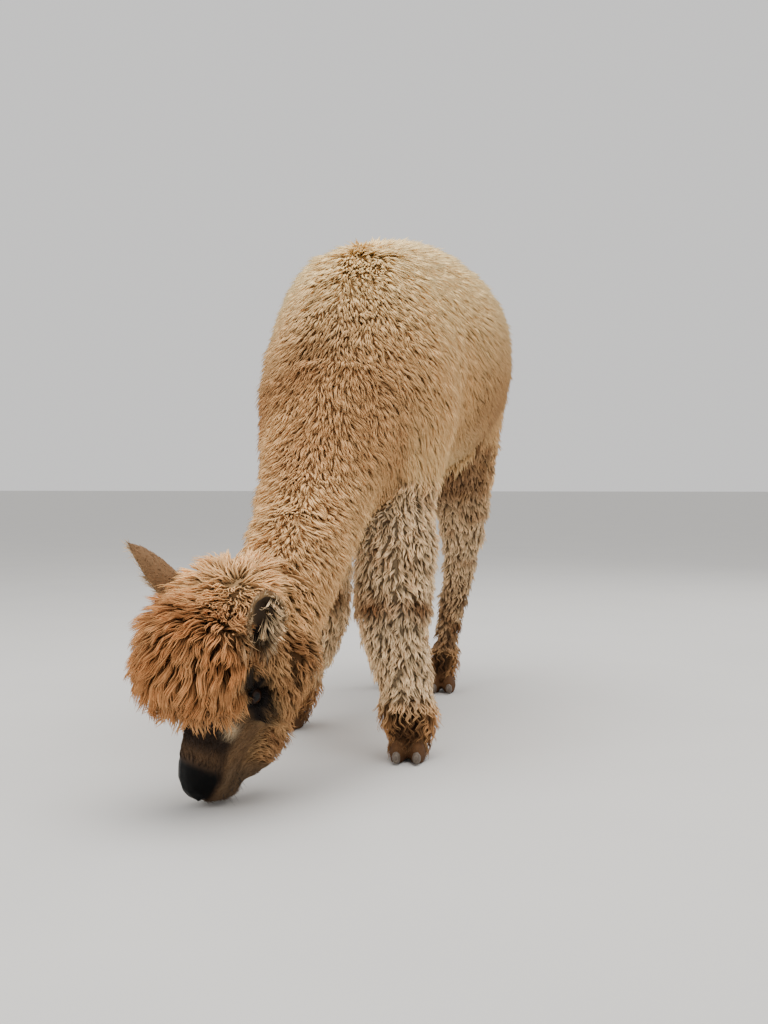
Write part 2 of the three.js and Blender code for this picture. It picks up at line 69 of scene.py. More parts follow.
# The kinds of coat, and which nodes carry each before the head is divided further.
KINDS = (
    "trunk", "neck", "crown", "cheek", "beard", "socket", "face", "ear", "lining", "foreleg", "hindleg", "foot",
    "toe", "tail",
)

# How each kind grows: depth of the coat in mm, how much longer than that depth its hair reaches,
# smoothing passes of the skin under it, lean of a tuft from the skin's normal at its root and its tip
# in degrees, width and spacing of tufts in mm, size in mm and number of its curls, width of a lock in
# mm, how far tufts draw together into it, and splay in mm.
GROWTH = {
    "trunk": (17, 1.00, 40, 42, 79, 5.4, 4.75, 1.2, 0.9, 9, 0.30, 2.6),
    "neck": (16, 1.00, 30, 36, 80, 4.8, 4.3, 1.3, 1.0, 10, 0.42, 2.2),
    "crown": (25, 1.10, 30, 24, 88, 3.5, 3.6, 2.5, 1.15, 12, 0.76, 2.2),
    "cheek": (15, 1.15, 18, 28, 82, 3.5, 4.3, 2.8, 1.1, 10, 0.74, 2.0),
    "beard": (9, 1.20, 12, 36, 84, 2.6, 3.8, 2.0, 1.2, 8, 0.60, 1.8),
    "socket": (3, 1.60, 8, 58, 84, 1.8, 3.2, 0.4, 0.6, 5, 0.30, 0.8),
    "face": (1.2, 2.60, 5, 62, 84, 1.25, 2.8, 0.2, 0.6, 5, 0.30, 0.5),
    "ear": (1.0, 2.60, 1, 60, 82, 1.4, 3.2, 0.2, 0.6, 5, 0.30, 0.5),
    "lining": (1.0, 15.0, 1, 40, 78, 1.5, 4.2, 0.6, 0.7, 12, 0.84, 1.0),
    "foreleg": (12, 1.10, 16, 30, 84, 4.8, 4.9, 3.0, 0.85, 12, 0.60, 2.0),
    "hindleg": (11, 1.10, 16, 30, 84, 4.8, 5.05, 3.0, 0.85, 12, 0.60, 2.0),
    "foot": (6, 2.30, 8, 50, 88, 3.0, 5.3, 4.6, 1.55, 10, 0.88, 1.0),
    "toe": (0.8, 2.60, 1, 62, 84, 1.4, 4.1, 0.2, 0.6, 5, 0.30, 0.5),
    "tail": (18, 1.00, 14, 22, 78, 4.4, 5.2, 2.2, 1.2, 13, 0.70, 2.0),
}
GROWTH_COLUMNS = (
    "depth", "reach", "passes", "lean_root", "lean_tip", "width", "spacing", "curl", "turns", "lock",
    "draw", "splay",
)


def node_centre(name):
    """Centre of a solid's box."""
    low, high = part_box(name)
    return np.array((low + high) / 2)


# The head's own frame: across to its left, up out of its forehead, and out along its nose.
HEAD_NOSE = np.array((-0.28233, -0.12414, -0.95125))
EYES = {"left": node_centre("eye_left"), "right": node_centre("eye_right")}
EYE_RADIUS = float((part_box("eye_left")[1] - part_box("eye_left")[0]).x / 2)


def unit(vectors):
    """Vectors of length one."""
    length = np.linalg.norm(vectors, axis=-1, keepdims=True)
    return vectors / np.maximum(length, 1e-12)


HEAD_LEFT = unit(EYES["left"] - EYES["right"])
HEAD_NOSE = unit(HEAD_NOSE - HEAD_LEFT * (HEAD_NOSE @ HEAD_LEFT))
HEAD_UP = np.cross(HEAD_NOSE, HEAD_LEFT)
HEAD_AXES = np.stack((HEAD_LEFT, HEAD_UP, HEAD_NOSE))
HEAD_AT = (EYES["left"] + EYES["right"]) / 2 - 3 * MM * HEAD_UP
DOWN = np.array((0.0, 0.0, -1.0))


def head_point(left, up, nose):
    """A place on the head in the row frame, from millimetres along its axes."""
    return HEAD_AT + (np.array((left, up, nose)) * MM) @ HEAD_AXES


def head_space(points):
    """Millimetres to the head's left, up out of its forehead and along its nose."""
    return ((points - HEAD_AT) @ HEAD_AXES.T / MM).T


def ramp(x, start, end):
    """0 before start and 1 after end, with a smooth rise between."""
    t = np.clip((x - start) / (end - start), 0, 1)
    return t * t * (3 - 2 * t)


def near(points, centre, radius):
    """1 at a place in the row frame, fading to 0 at radius metres from it."""
    return 1 - ramp(np.linalg.norm(points - centre, axis=1), 0, radius)


def waves(points, scale, seed):
    """A smooth random value about 0, whose swells are about scale metres apart."""
    rng = np.random.default_rng(seed)
    total = np.zeros(len(points))
    for _ in range(7):
        turn = unit(rng.normal(size=3)) * 2 * math.pi / (scale * rng.uniform(0.7, 1.6))
        total += np.sin(points @ turn + rng.uniform(0, 2 * math.pi))
    return total / math.sqrt(7)


# ---------------------------------------------------------------- meshes as arrays


def mesh_arrays(mesh):
    """Points and triangles of a mesh."""
    points = np.empty(len(mesh.vertices) * 3)
    mesh.vertices.foreach_get("co", points)
    mesh.calc_loop_triangles()
    corners = np.empty(len(mesh.loop_triangles) * 3, np.int32)
    mesh.loop_triangles.foreach_get("vertices", corners)
    return points.reshape(-1, 3), corners.reshape(-1, 3)


def mesh_from(name, points, faces):
    """A mesh of triangles, shaded smooth."""
    mesh = bpy.data.meshes.new(name)
    mesh.vertices.add(len(points))
    mesh.vertices.foreach_set("co", np.ascontiguousarray(points, np.float32).ravel())
    mesh.loops.add(faces.size)
    mesh.loops.foreach_set("vertex_index", np.ascontiguousarray(faces, np.int32).ravel())
    mesh.polygons.add(len(faces))
    mesh.polygons.foreach_set("loop_start", np.arange(0, faces.size, 3, dtype=np.int32))
    mesh.update(calc_edges=True)
    mesh.polygons.foreach_set("use_smooth", np.ones(len(faces), bool))
    return mesh


def face_normals(points, faces):
    """Normals of the triangles, as long as twice their areas."""
    a, b, c = (points[faces[:, k]] for k in range(3))
    return np.cross(b - a, c - a)


def point_normals(points, faces):
    """Unit normals at the points."""
    normals = face_normals(points, faces)
    total = np.zeros_like(points)
    for corner in range(3):
        for axis in range(3):
            total[:, axis] += np.bincount(faces[:, corner], normals[:, axis], len(points))
    return unit(total)


class Neighbours:
    """Averages values over each point's neighbours."""

    def __init__(self, faces, count):
        pairs = np.concatenate((faces[:, (0, 1)], faces[:, (1, 2)], faces[:, (2, 0)]))
        self.ends = np.concatenate((pairs[:, 0], pairs[:, 1]))
        self.others = np.concatenate((pairs[:, 1], pairs[:, 0]))
        self.count = count
        self.degree = np.maximum(np.bincount(self.ends, minlength=count), 1)

    def mean(self, values):
        columns = values.reshape(self.count, -1)
        out = np.empty_like(columns)
        for k in range(columns.shape[1]):
            out[:, k] = np.bincount(self.ends, columns[self.others, k], self.count) / self.degree
        return out.reshape(values.shape)

    def smooth(self, values, passes, share=0.5):
        """values drawn towards their neighbours. share may differ from point to point."""
        for _ in range(passes):
            values = values + (self.mean(values) - values) * share
        return values


def add_object(name, mesh):
    """A new object in the scene."""
    item = bpy.data.objects.new(name, mesh)
    bpy.context.scene.collection.objects.link(item)
    return item


def modified(item):
    """The item's mesh with its modifiers applied, as a new plain mesh."""
    graph = bpy.context.evaluated_depsgraph_get()
    return bpy.data.meshes.new_from_object(item.evaluated_get(graph))


def set_attribute(mesh, name, values):
    """A value or a colour at each point."""
    if values.ndim == 1:
        layer = mesh.attributes.new(name, "FLOAT", "POINT")
        layer.data.foreach_set("value", np.ascontiguousarray(values, np.float32))
        return
    layer = mesh.attributes.new(name, "FLOAT_COLOR", "POINT")
    rgba = np.ones((len(values), 4), np.float32)
    rgba[:, :3] = values
    layer.data.foreach_set("color", rgba.ravel())


# ---------------------------------------------------------------- the pelt


class Pelt:
    """The skin's surface, with the kind of coat, its lie and its colour at each point."""

    def __init__(self, points, faces, kinds, room):
        self.points = points
        self.faces = faces
        self.kinds = kinds
        self.normals = point_normals(points, faces)
        table = np.array([GROWTH[kind] for kind in KINDS])
        self.growth = dict(zip(GROWTH_COLUMNS, (kinds @ table).T))
        self.growth["height"] = kinds @ (table[:, 0] * table[:, 1]) * np.sqrt(room)
        upright = near(points, WHORL, 0.075)
        middle = near(points, WHORL, 0.032)
        withers = near(points, WITHERS, 0.22)
        self.growth["lean_root"] = self.growth["lean_root"] + 16 * withers
        self.growth["lean_tip"] = self.growth["lean_tip"] * (1 - 0.45 * upright - 0.38 * middle) + 7 * withers
        self.growth["height"] = self.growth["height"] * (1 - 0.30 * upright)
        self.growth["draw"] = self.growth["draw"] * (1 - 0.7 * upright)
        self.growth["splay"] = self.growth["splay"] * (1 + 1.2 * upright)
        self.lie = self.comb()
        self.tint = self.coat_tint = None

    def share(self, *names):
        """How much of the coat at each point is of these kinds."""
        return sum(self.kinds[:, KINDS.index(name)] for name in names)

    def comb(self):
        """The way the hair lies at each point, along the skin."""
        points = self.points
        left, up, nose = head_space(points)
        from_whorl = unit(points - WHORL) * (1 - 0.75 * hollow_share(points, 30, 75))[:, None]
        still = np.zeros_like(points)
        towards = {
            "trunk": np.stack((points[:, 0] * 2.2, 0.55 * ramp(points[:, 1], -0.12, 0.16), still[:, 0] - 0.75), 1),
            "neck": around_neck(points) * 0.7 + DOWN * 1.0,
            "crown": from_whorl + DOWN * 0.85 + HEAD_NOSE * 0.3,
            "cheek": still + DOWN + HEAD_UP * -0.3,
            "beard": still + DOWN * 0.7 - HEAD_UP * 0.6 - HEAD_NOSE * 0.2,
            "socket": still + DOWN - HEAD_UP * 0.2,
            "face": -HEAD_NOSE + HEAD_LEFT * (left / 90)[:, None] + HEAD_UP * (up / 120)[:, None],
            "ear": along_ears(points),
            "lining": along_ears(points) * 0.5 + DOWN,
            "foreleg": still + DOWN,
            "hindleg": still + DOWN,
            "foot": still + DOWN + np.array((0.0, -0.25, 0.0)),
            "toe": still + DOWN * 0.5 + np.array((0.0, -0.9, 0.0)),
            "tail": still + DOWN,
        }
        total = sum(unit(towards[kind]) * self.share(kind)[:, None] for kind in KINDS)
        joined = Neighbours(self.faces, len(points))
        flat = total
        for _ in range(6):
            flat = flat - self.normals * (flat * self.normals).sum(1, keepdims=True)
            flat = joined.smooth(unit(flat), 4)
        return unit(flat - self.normals * (flat * self.normals).sum(1, keepdims=True))


# The middle of the neck from withers to poll, and each ear from root to tip.
NECK_LINE = np.array(
    ((-0.004, -0.089, 0.700), (-0.022, -0.184, 0.612), (-0.032, -0.259, 0.492), (-0.038, -0.324, 0.412),
     (-0.042, -0.399, 0.347), (-0.058, -0.467, 0.273))
)
EAR_SPANS = {
    "left": (head_point(58, 38, -84), unit(np.array((0.68, 0.62, -0.40))) @ HEAD_AXES),
    "right": (head_point(-58, 38, -84), unit(np.array((-0.52, 0.76, -0.40))) @ HEAD_AXES),
}


def nose_pad(points):
    """1 on the bare black leather round the nostrils."""
    left, up, nose = head_space(points)
    return ramp(nose, 114, 126) * ramp(up - np.abs(left) * 0.14, 4, 11) * ramp(-np.abs(left), -44, -36)


def ear_opening(side, axis):
    """The way the cup of an ear faces: outwards and a little forward."""
    sign = 1 if side == "left" else -1
    inward = HEAD_LEFT * -sign
    inward = unit(inward - axis * (inward @ axis))
    facing = unit(np.cross(axis, inward)) * sign
    return unit(facing * 0.66 - inward * 0.75)


def outer_half(points):
    """Which points of the ears lie towards the outer edge of their cups."""
    is_left = head_space(points)[0] > 0
    found = np.zeros(len(points), bool)
    for side, (root, axis) in EAR_SPANS.items():
        mine = is_left == (side == "left")
        across = np.cross(axis, ear_opening(side, axis)) * (1 if side == "left" else -1)
        found |= mine & ((points - root) @ across > -2 * MM)
    return found


def ear_facing(points, normals):
    """How squarely each point of an ear faces out of its opening."""
    is_left = head_space(points)[0] > 0
    facing = np.zeros(len(points))
    for side, (_, axis) in EAR_SPANS.items():
        mine = is_left == (side == "left")
        facing = np.where(mine, (normals * ear_opening(side, axis)).sum(1), facing)
    return facing


WHORL = head_point(30, 88, -136)
WITHERS = np.array((0.0, -0.05, 0.88))


def hollow_share(points, inner=33, outer=47):
    """How far each point lies in the hollow over an eye, by its angle from the hollow's middle."""
    total = np.zeros(len(points))
    for side, centre in EYES.items():
        sign = 1 if side == "left" else -1
        middle_ray = unit(HEAD_LEFT * sign * 0.75 + HEAD_UP * 0.62 - HEAD_NOSE * 0.22)
        offset = points - centre
        angle = np.degrees(np.arccos(np.clip(unit(offset) @ middle_ray, -1, 1)))
        total += (1 - ramp(angle, inner, outer)) * (np.linalg.norm(offset, axis=1) < 80 * MM)
    return np.minimum(total, 1)


def over_eyes(points, edge=1.25):
    """How far each point stands over the long dark opening in front of an eye."""
    left, up, nose = head_space(points)
    offset = np.stack((np.abs(left) - 80, up - 28, nose + 4), 1)
    across = offset @ np.array((0.62, -0.73, -0.29)) / 17
    along = offset @ np.array((-0.24, 0.09, -0.97)) / 33
    in_front = offset @ np.array((0.72, 0.68, -0.12)) > -60
    return (1 - ramp(np.hypot(across, along), 0.75, edge)) * in_front


def around_neck(points):
    """From the neck's crest round both sides to its throat."""
    nearest = np.argmin(np.linalg.norm(points[:, None] - NECK_LINE, axis=2), axis=1)
    nearest = np.clip(nearest, 1, len(NECK_LINE) - 2)
    along = unit(NECK_LINE[nearest + 1] - NECK_LINE[nearest - 1])
    out = points - NECK_LINE[nearest]
    out = out - along * (out * along).sum(1, keepdims=True)
    throat = np.array((0.0, 0.62, -0.78)) - along * (along @ np.array((0.0, 0.62, -0.78)))[:, None]
    return unit(throat) + unit(out) * 0.2


def along_ears(points):
    """From the root of the nearer ear to its tip."""
    is_left = head_space(points)[0] > 0
    return np.where(is_left[:, None], EAR_SPANS["left"][1], EAR_SPANS["right"][1])


def swollen_copy(name):
    """A solid's mesh with its corners merged, grown just enough to reach across the thin cuts."""
    work = bmesh.new()
    work.from_mesh(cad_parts[name].data)
    bmesh.ops.remove_doubles(work, verts=work.verts, dist=0.02 * MM)
    work.normal_update()
    for vert in work.verts:
        vert.co += vert.normal * OVERLAP
    mesh = bpy.data.meshes.new(name + "_copy")
    work.to_mesh(mesh)
    work.free()
    return mesh


def fused_flesh():
    """All the flesh as one closed mesh of small squares."""
    whole = bmesh.new()
    for name in FLESH_NODES + EYE_NODES:
        mesh = swollen_copy(name)
        whole.from_mesh(mesh)
        bpy.data.meshes.remove(mesh)
    mesh = bpy.data.meshes.new("flesh")
    whole.to_mesh(mesh)
    whole.free()
    item = add_object("flesh", mesh)
    remesh = item.modifiers.new("fuse", "REMESH")
    remesh.mode = "VOXEL"
    remesh.voxel_size = VOXEL
    fused = modified(item)
    bpy.data.objects.remove(item)
    bpy.data.meshes.remove(mesh)
    return fused


def largest_part(mesh):
    """The mesh without stray crumbs, and finer where the face needs it."""
    work = bmesh.new()
    work.from_mesh(mesh)
    work.verts.ensure_lookup_table()
    label = np.full(len(work.verts), -1)
    sizes = []
    for vert in work.verts:
        if label[vert.index] >= 0:
            continue
        stack = [vert]
        label[vert.index] = len(sizes)
        size = 0
        while stack:
            here = stack.pop()
            size += 1
            for edge in here.link_edges:
                other = edge.other_vert(here)
                if label[other.index] < 0:
                    label[other.index] = len(sizes)
                    stack.append(other)
        sizes.append(size)
    main_part = int(np.argmax(sizes))
    crumbs = [v for v in work.verts if label[v.index] != main_part]
    bmesh.ops.delete(work, geom=crumbs, context="VERTS")
    refine(work)
    work.to_mesh(mesh)
    work.free()


def refine(work):
    """Divides the squares round the eyes and over the nose and mouth."""
    work.verts.ensure_lookup_table()
    points = np.array([v.co for v in work.verts])
    left, up, nose = head_space(points)
    fine = nose > 96
    for centre in EYES.values():
        fine |= np.linalg.norm(points - centre, axis=1) < 30 * MM
    wanted = {i for i in np.nonzero(fine)[0]}
    edges = [e for e in work.edges if e.verts[0].index in wanted and e.verts[1].index in wanted]
    bmesh.ops.subdivide_edges(work, edges=edges, cuts=2, use_grid_fill=True)
    bmesh.ops.triangulate(work, faces=work.faces)


def node_samples():
    """Points spread over each flesh node, with the kind of coat that the node carries."""
    rng = np.random.default_rng(SEED)
    places = []
    labels = []
    for name in FLESH_NODES:
        points, faces = mesh_arrays(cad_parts[name].data)
        area = np.linalg.norm(face_normals(points, faces), axis=1) / 2
        repeat = np.maximum(1, np.round(area / (60 * MM * MM)).astype(int))
        index = np.repeat(np.arange(len(faces)), repeat)
        weights = rng.dirichlet((1, 1, 1), len(index))
        spread = (points[faces[index]] * weights[:, :, None]).sum(1)
        places.append(spread)
        labels += [kind_of_node(name)] * len(spread)
    return np.concatenate(places), np.array([KINDS.index(label) for label in labels])


def kind_of_node(name):
    """The kind of coat that a node carries."""
    if name.startswith("ear"):
        return "ear"
    if name in ("muzzle", "jaw"):
        return "face"
    if "_toe_" in name:
        return "toe"
    if name.endswith("_foot"):
        return "foot"
    if name.startswith("fore"):
        return "foreleg"
    if name.startswith("hind"):
        return "hindleg"
    return {"head": "crown"}.get(name, name)


def sort_kinds(points, normals, joined):
    """Shares of each kind of coat at the points, blended where kinds meet."""
    places, labels = node_samples()
    tree = KDTree(len(places))
    for index, place in enumerate(places):
        tree.insert(place, index)
    tree.balance()
    found = np.array([tree.find(p)[1] for p in points])
    kind = labels[found]
    left, up, nose = head_space(points)
    on_head = (kind == KINDS.index("crown")) | (kind == KINDS.index("face"))
    brow = np.interp(nose, (-200, -90, 10, 38, 50, 68, 76), (20, 36, 42, 60, 78, 92, 300))
    rules = (
        ("lining", (kind == KINDS.index("ear")) & (ear_facing(points, normals) > 0.62)),
        ("face", on_head),
        ("beard", on_head & (up < -30) & (nose < 100)),
        ("cheek", on_head & (nose < np.where(up < -20, 40, 12))),
        ("crown", on_head & (up > brow)),
        ("socket", on_head & (over_eyes(points, 1.6) > 0.4)),
    )
    for name, where in rules:
        kind = np.where(where, KINDS.index(name), kind)
    shares = np.eye(len(KINDS))[kind]
    fine = shares[:, [KINDS.index(k) for k in ("socket", "face", "ear", "lining", "toe")]].sum(1)
    broad = joined.smooth(shares, 14)
    return joined.smooth(np.where(fine[:, None] > 0.5, shares, broad), 5)


def eye_axes(side):
    """The way an eye looks out, and the ways along and across its opening."""
    sign = 1 if side == "left" else -1
    out = unit(HEAD_LEFT * sign * 0.90 + HEAD_NOSE * 0.10 + HEAD_UP * 0.36)
    fore = unit(HEAD_NOSE - out * (HEAD_NOSE @ out))
    high = np.cross(out, fore)
    return out, fore, high * np.sign(high @ HEAD_UP)


def sink_hollows(points):
    """Presses the skin down to the eyes in the hollows between topknot and cheek."""
    depth = hollow_share(points, 20, 40)
    for centre in EYES.values():
        offset = points - centre
        radius = np.linalg.norm(offset, axis=1)
        close = depth * (radius < 80 * MM) * (radius > EYE_RADIUS)
        target = radius + (EYE_RADIUS + 3 * MM - radius) * close
        points = centre + unit(offset) * target[:, None]
    return points


def shape_lids(points):
    """Draws the skin over each eyeball, and opens it between two lids."""
    for side, centre in EYES.items():
        out, fore, high = eye_axes(side)
        offset = points - centre
        radius = np.linalg.norm(offset, axis=1)
        ray = unit(offset)
        x, y, z = ray @ fore, ray @ high, ray @ out
        slant = y + 0.12 * x
        tall = np.where(slant > 0, 0.46, 0.38)
        opening = np.hypot(x / 0.84, slant / tall)
        facing = (z > 0) & (radius < 2.1 * EYE_RADIUS)
        rim = EYE_RADIUS + 1.0 * MM + 1.6 * MM * np.exp(-(((opening - 1.22) / 0.16) ** 2))
        crease = -1.6 * MM * np.exp(-(((opening - 1.9) / 0.14) ** 2)) * (slant > 0)
        fade = ramp(opening, 1.5, 2.5)
        target = rim * (1 - fade) + radius * fade + crease
        target = np.where(opening < 1.02, EYE_RADIUS - 3.5 * MM, target)
        hidden = (~facing) & (radius < EYE_RADIUS * 1.02)
        target = np.where(facing, target, np.where(hidden, EYE_RADIUS * 0.9, radius))
        points = centre + ray * target[:, None]
    return points


def shape_muzzle(points, normals):
    """Presses in the nostrils, the split of the lip, the mouth and the beds of the nails."""
    left, up, nose = head_space(points)
    side = np.abs(left)
    press = np.zeros(len(points))
    line = -19.5 - 5 * ramp(-nose, -132, -92)
    press += 4.6 * np.exp(-(((up - line) / 2.1) ** 2)) * ramp(nose, 84, 112)
    press -= 1.6 * np.exp(-(((up - line - 6.5) / 3.6) ** 2)) * ramp(nose, 100, 130)
    press -= 1.4 * np.exp(-(((up - line + 6.5) / 3.6) ** 2)) * ramp(nose, 100, 130)
    split = np.exp(-((side / 1.7) ** 2)) * ramp(nose, 140, 156) * ramp(up, -24, -16) * ramp(-up, -12, 0)
    press += 3.4 * split
    slot = (side - 14.5) * 0.82 + (up - 9) * 0.57
    across = -(side - 14.5) * 0.57 + (up - 9) * 0.82
    slit = np.exp(-((slot / 8.5) ** 4)) * np.exp(-((across / 2.3) ** 2)) * ramp(nose, 136, 148)
    wing = np.exp(-((slot / 9.5) ** 4)) * np.exp(-(((across - 5.5) / 2.6) ** 2)) * ramp(nose, 132, 146)
    press += 6.5 * slit - 1.8 * wing
    cheekbone = np.exp(-(((up + 4) / 7) ** 2)) * np.exp(-(((nose - 44) / 22) ** 2)) * ramp(side, 20, 34)
    press -= 1.6 * cheekbone
    for name in NAIL_NODES:
        press = press + 0.8 * near(points, node_centre(name), 0.012)
    return points - normals * (press * MM)[:, None]


def room_ahead(points, faces, joined):
    """1 where the surface has room for its whole coat, less in the clefts where two parts meet."""
    tree = BVHTree.FromPolygons(points.tolist(), faces.tolist())
    normals = point_normals(points, faces)
    start = points + normals * (2 * MM)
    reach = 45 * MM
    gap = np.full(len(points), reach)
    for index, (origin, way) in enumerate(zip(start.tolist(), normals.tolist())):
        hit = tree.ray_cast(origin, way, reach)
        if hit[0] is not None:
            gap[index] = hit[3]
    return joined.smooth(0.15 + 0.85 * ramp(gap, 6 * MM, reach), 8)


def grow_pelt():
    """Fuses the flesh, sets it in by the coat's depth, shapes the face and thins out the plain parts."""
    mesh = fused_flesh()
    largest_part(mesh)
    points, faces = mesh_arrays(mesh)
    bpy.data.meshes.remove(mesh)
    joined = Neighbours(faces, len(points))
    kinds = sort_kinds(points, point_normals(points, faces), joined)
    room = room_ahead(points, faces, joined)
    table = np.array([GROWTH[kind] for kind in KINDS])
    depth = kinds @ table[:, 0] * room * MM
    passes = kinds @ table[:, 2]
    most = int(passes.max())
    smooth = points
    for step in range(most):
        pull = np.clip(passes - step, 0, 1)[:, None] * 0.5
        smooth = smooth + (joined.mean(smooth) - smooth) * pull
    normals = joined.smooth(point_normals(smooth, faces), 3)
    sunk = ((points - smooth) * normals).sum(1)
    inner = smooth - unit(normals) * np.maximum(depth + OVERLAP - sunk, 0)[:, None]
    inner = joined.smooth(inner, 4, np.clip(passes / 12, 0.05, 0.5)[:, None])
    inner = sink_hollows(inner)
    inner = shape_muzzle(inner, point_normals(inner, faces))
    inner = shape_lids(inner)
    item = add_object("pelt", mesh_from("pelt", inner, faces))
    thin = item.modifiers.new("thin", "DECIMATE")
    thin.ratio = SKIN_TRIANGLES / len(faces)
    thin.use_collapse_triangulate = True
    mesh = modified(item)
    bpy.data.objects.remove(item)
    tree = KDTree(len(inner))
    for index, place in enumerate(inner):
        tree.insert(place, index)
    tree.balance()
    points, faces = mesh_arrays(mesh)
    bpy.data.meshes.remove(mesh)
    found = np.array([tree.find(p)[1] for p in points])
    pelt = Pelt(points, faces, kinds[found], room[found])
    coat = bpy.context.scene.alpaca_coat
    pelt.tint = markings(pelt, coat)
    lining = pelt.share("lining")[:, None]
    pelt.coat_tint = pelt.tint * (1 - lining) + np.array(coat.milk) * 1.15 * lining
    return pelt


def rgb(red, green, blue):
    """A colour from its screen values of 0 to 255, as the linear values that materials use."""
    value = np.array((red, green, blue)) / 255
    return np.where(value <= 0.04045, value / 12.92, ((value + 0.055) / 1.055) ** 2.4)


BLACK = rgb(9, 8, 8)
# The colour of painted shade in the ear cups and over the openings in front of the eyes.
PAINTED_SHADE = rgb(34, 25, 19)


def markings(pelt, coat):
    """The coat's colour at each point of the pelt, with painted shade on the flank, round the eyes, in the ear
    cups and over the openings in front of the eyes.
    """
    points = pelt.points
    left, up, nose = head_space(points)
    height = points[:, 2]
    fawn, cream, ginger = (np.array(c) for c in (coat.fawn, coat.cream, coat.ginger))
    umber, milk, charcoal = (np.array(c) for c in (coat.umber, coat.milk, coat.charcoal))
    colour = np.repeat(fawn[None], len(points), 0)

    def lay(target, amount):
        nonlocal colour
        colour = colour + (target - colour) * np.clip(amount, 0, 1)[:, None]

    cloud = waves(points, 0.11, 3)
    tufty = waves(points, 0.05, 8)
    trunk, neck, legs = pelt.share("trunk"), pelt.share("neck"), pelt.share("foreleg", "hindleg")
    lay(cream, ramp(height, 0.62, 0.86) * 0.92 + cloud * 0.06)
    # Painted shade: the flank darkened towards umber, as it lies in shade.
    lay(umber * 1.3, near(points, (0.18, 0.20, 0.62), 0.32) * (0.72 + 0.15 * cloud))
    lay(umber * 1.5, near(points, (-0.05, -0.23, 0.60), 0.24) * (0.55 + 0.25 * cloud))
    lay(cream, neck * ramp(-height, -0.52, -0.44) * 0.25)
    lay(ginger, neck * (0.20 + 0.08 * cloud + 0.35 * ramp(-height, -0.38, -0.24)))
    lay(cream, ramp(-height, -0.60, -0.48) * trunk * 0.45)
    lay(milk, legs * ramp(-height + 0.03 * tufty, -0.56, -0.40) * (0.85 + 0.15 * cloud))
    lay(umber, pelt.share("hindleg") * 0.16)
    lay(umber * 1.2, legs * ramp(waves(points, 0.035, 9), 0.3, 1.6) * 0.55)
    knee = np.exp(-(((height - 0.258) / 0.020) ** 2)) * pelt.share("foreleg")
    lay(umber * 1.1, knee * (0.62 + 0.25 * tufty))
    hind = pelt.share("hindleg")
    inner = ramp(-pelt.normals[:, 1], -0.1, 0.6) + 0.45 * ramp(tufty, 0.0, 1.2)
    lay(umber, hind * ramp(height + 0.02 * cloud, 0.37, 0.47) * np.minimum(inner, 1) * 0.8)
    lay(umber * 0.8, hind * ramp(-height, -0.30, -0.18) * (0.65 + 0.25 * tufty))
    lay(ginger * 0.62 + fawn * 0.20, pelt.share("foot") * (0.92 + 0.08 * tufty))
    lay(umber * 0.42, pelt.share("foot") * ramp(-pelt.normals[:, 1], 0.55, 0.9) * ramp(-height, -0.10, -0.075))
    lay(umber * 0.6, pelt.share("foot") * ramp(-height, -0.072, -0.042) * 0.8)
    lay(umber * 0.45, pelt.share("toe"))
    crown = pelt.share("crown")
    lay(ginger * 0.84, crown * (0.92 + 0.08 * waves(points, 0.05, 12)))
    lay(fawn * 1.05, crown * ramp(-nose, 76, 140) * 0.85)
    lay(ginger * 0.50 + fawn * 0.06, pelt.share("cheek") * (0.85 + 0.14 * tufty))
    lay(fawn, pelt.share("cheek") * ramp(-nose, 80, 130) * 0.7)
    lay(umber * 1.05, pelt.share("beard") * (0.85 + 0.12 * tufty))
    face = pelt.share("face")
    lay(umber * 0.38 + milk * 0.05, face * 0.95)
    lay(charcoal * 0.6, face * ramp(nose, 30, 56) * ramp(up, 4, 22) * 0.95)
    lay(charcoal * 0.6, face * ramp(nose, 104, 128) * ramp(up, -8, 12) * 0.8)
    saddle = np.exp(-(((nose - 106 + 3 * tufty) / 11) ** 2)) * ramp(up, 12, 26)
    lay(umber * 0.34 + milk * 0.05, face * saddle * 0.7)
    lay(BLACK, face * nose_pad(points))
    lay(umber * 0.24 + milk * 0.10, face * ramp(nose, 96, 120) * ramp(-up, -8, 3) * 0.95)
    for side in (1, -1):
        lay(milk * 0.62, near(points, head_point(45 * side, 26, 58), 0.019) * face * 1.3)
        lay(umber * 0.25, near(points, head_point(57 * side, -1, 22), 0.028) * 1.6)
    # Painted shade: the face browned round each eye and black close about it, for the deep shaded hollow the eye
    # sits in.
    for side, centre in EYES.items():
        lay(umber * 0.3, near(points, centre, 0.058) * face * 1.6)
        lay(BLACK, near(points, centre, 0.036) * 1.5)
    lay(umber * 0.56 + milk * 0.06, pelt.share("ear") * 0.95)
    # Painted shade: the lining of each ear cup darkened, and darker still deep in the cup near its root.
    lay(PAINTED_SHADE * 0.9, pelt.share("lining") * 0.97)
    cup = ramp(ear_facing(points, pelt.normals), 0.0, 0.5)
    for root, axis in EAR_SPANS.values():
        lay(PAINTED_SHADE * 0.7, near(points, root + axis * 0.020, 0.032) * cup * 2.2)
    # Painted shade in the sockets and over the opening in front of each eye.
    lay(PAINTED_SHADE * 0.5, np.maximum(pelt.share("socket"), over_eyes(points, 1.6)))
    return np.clip(colour, 0.004, 1)


# A parting of the cheek wool, in millimetres up and along the nose on the head's axes.
CHEEK_SEAM = np.array(((-6, -98), (-14, -83), (-19, -65), (-28, -46), (-48, -27)))


def distance_to_span(points, start, end):
    """Distance of each point from the straight span between two places."""
    span = end - start
    share = np.clip((points - start) @ span / (span @ span), 0, 1)
    return np.linalg.norm(points - start - share[:, None] * span, axis=1)


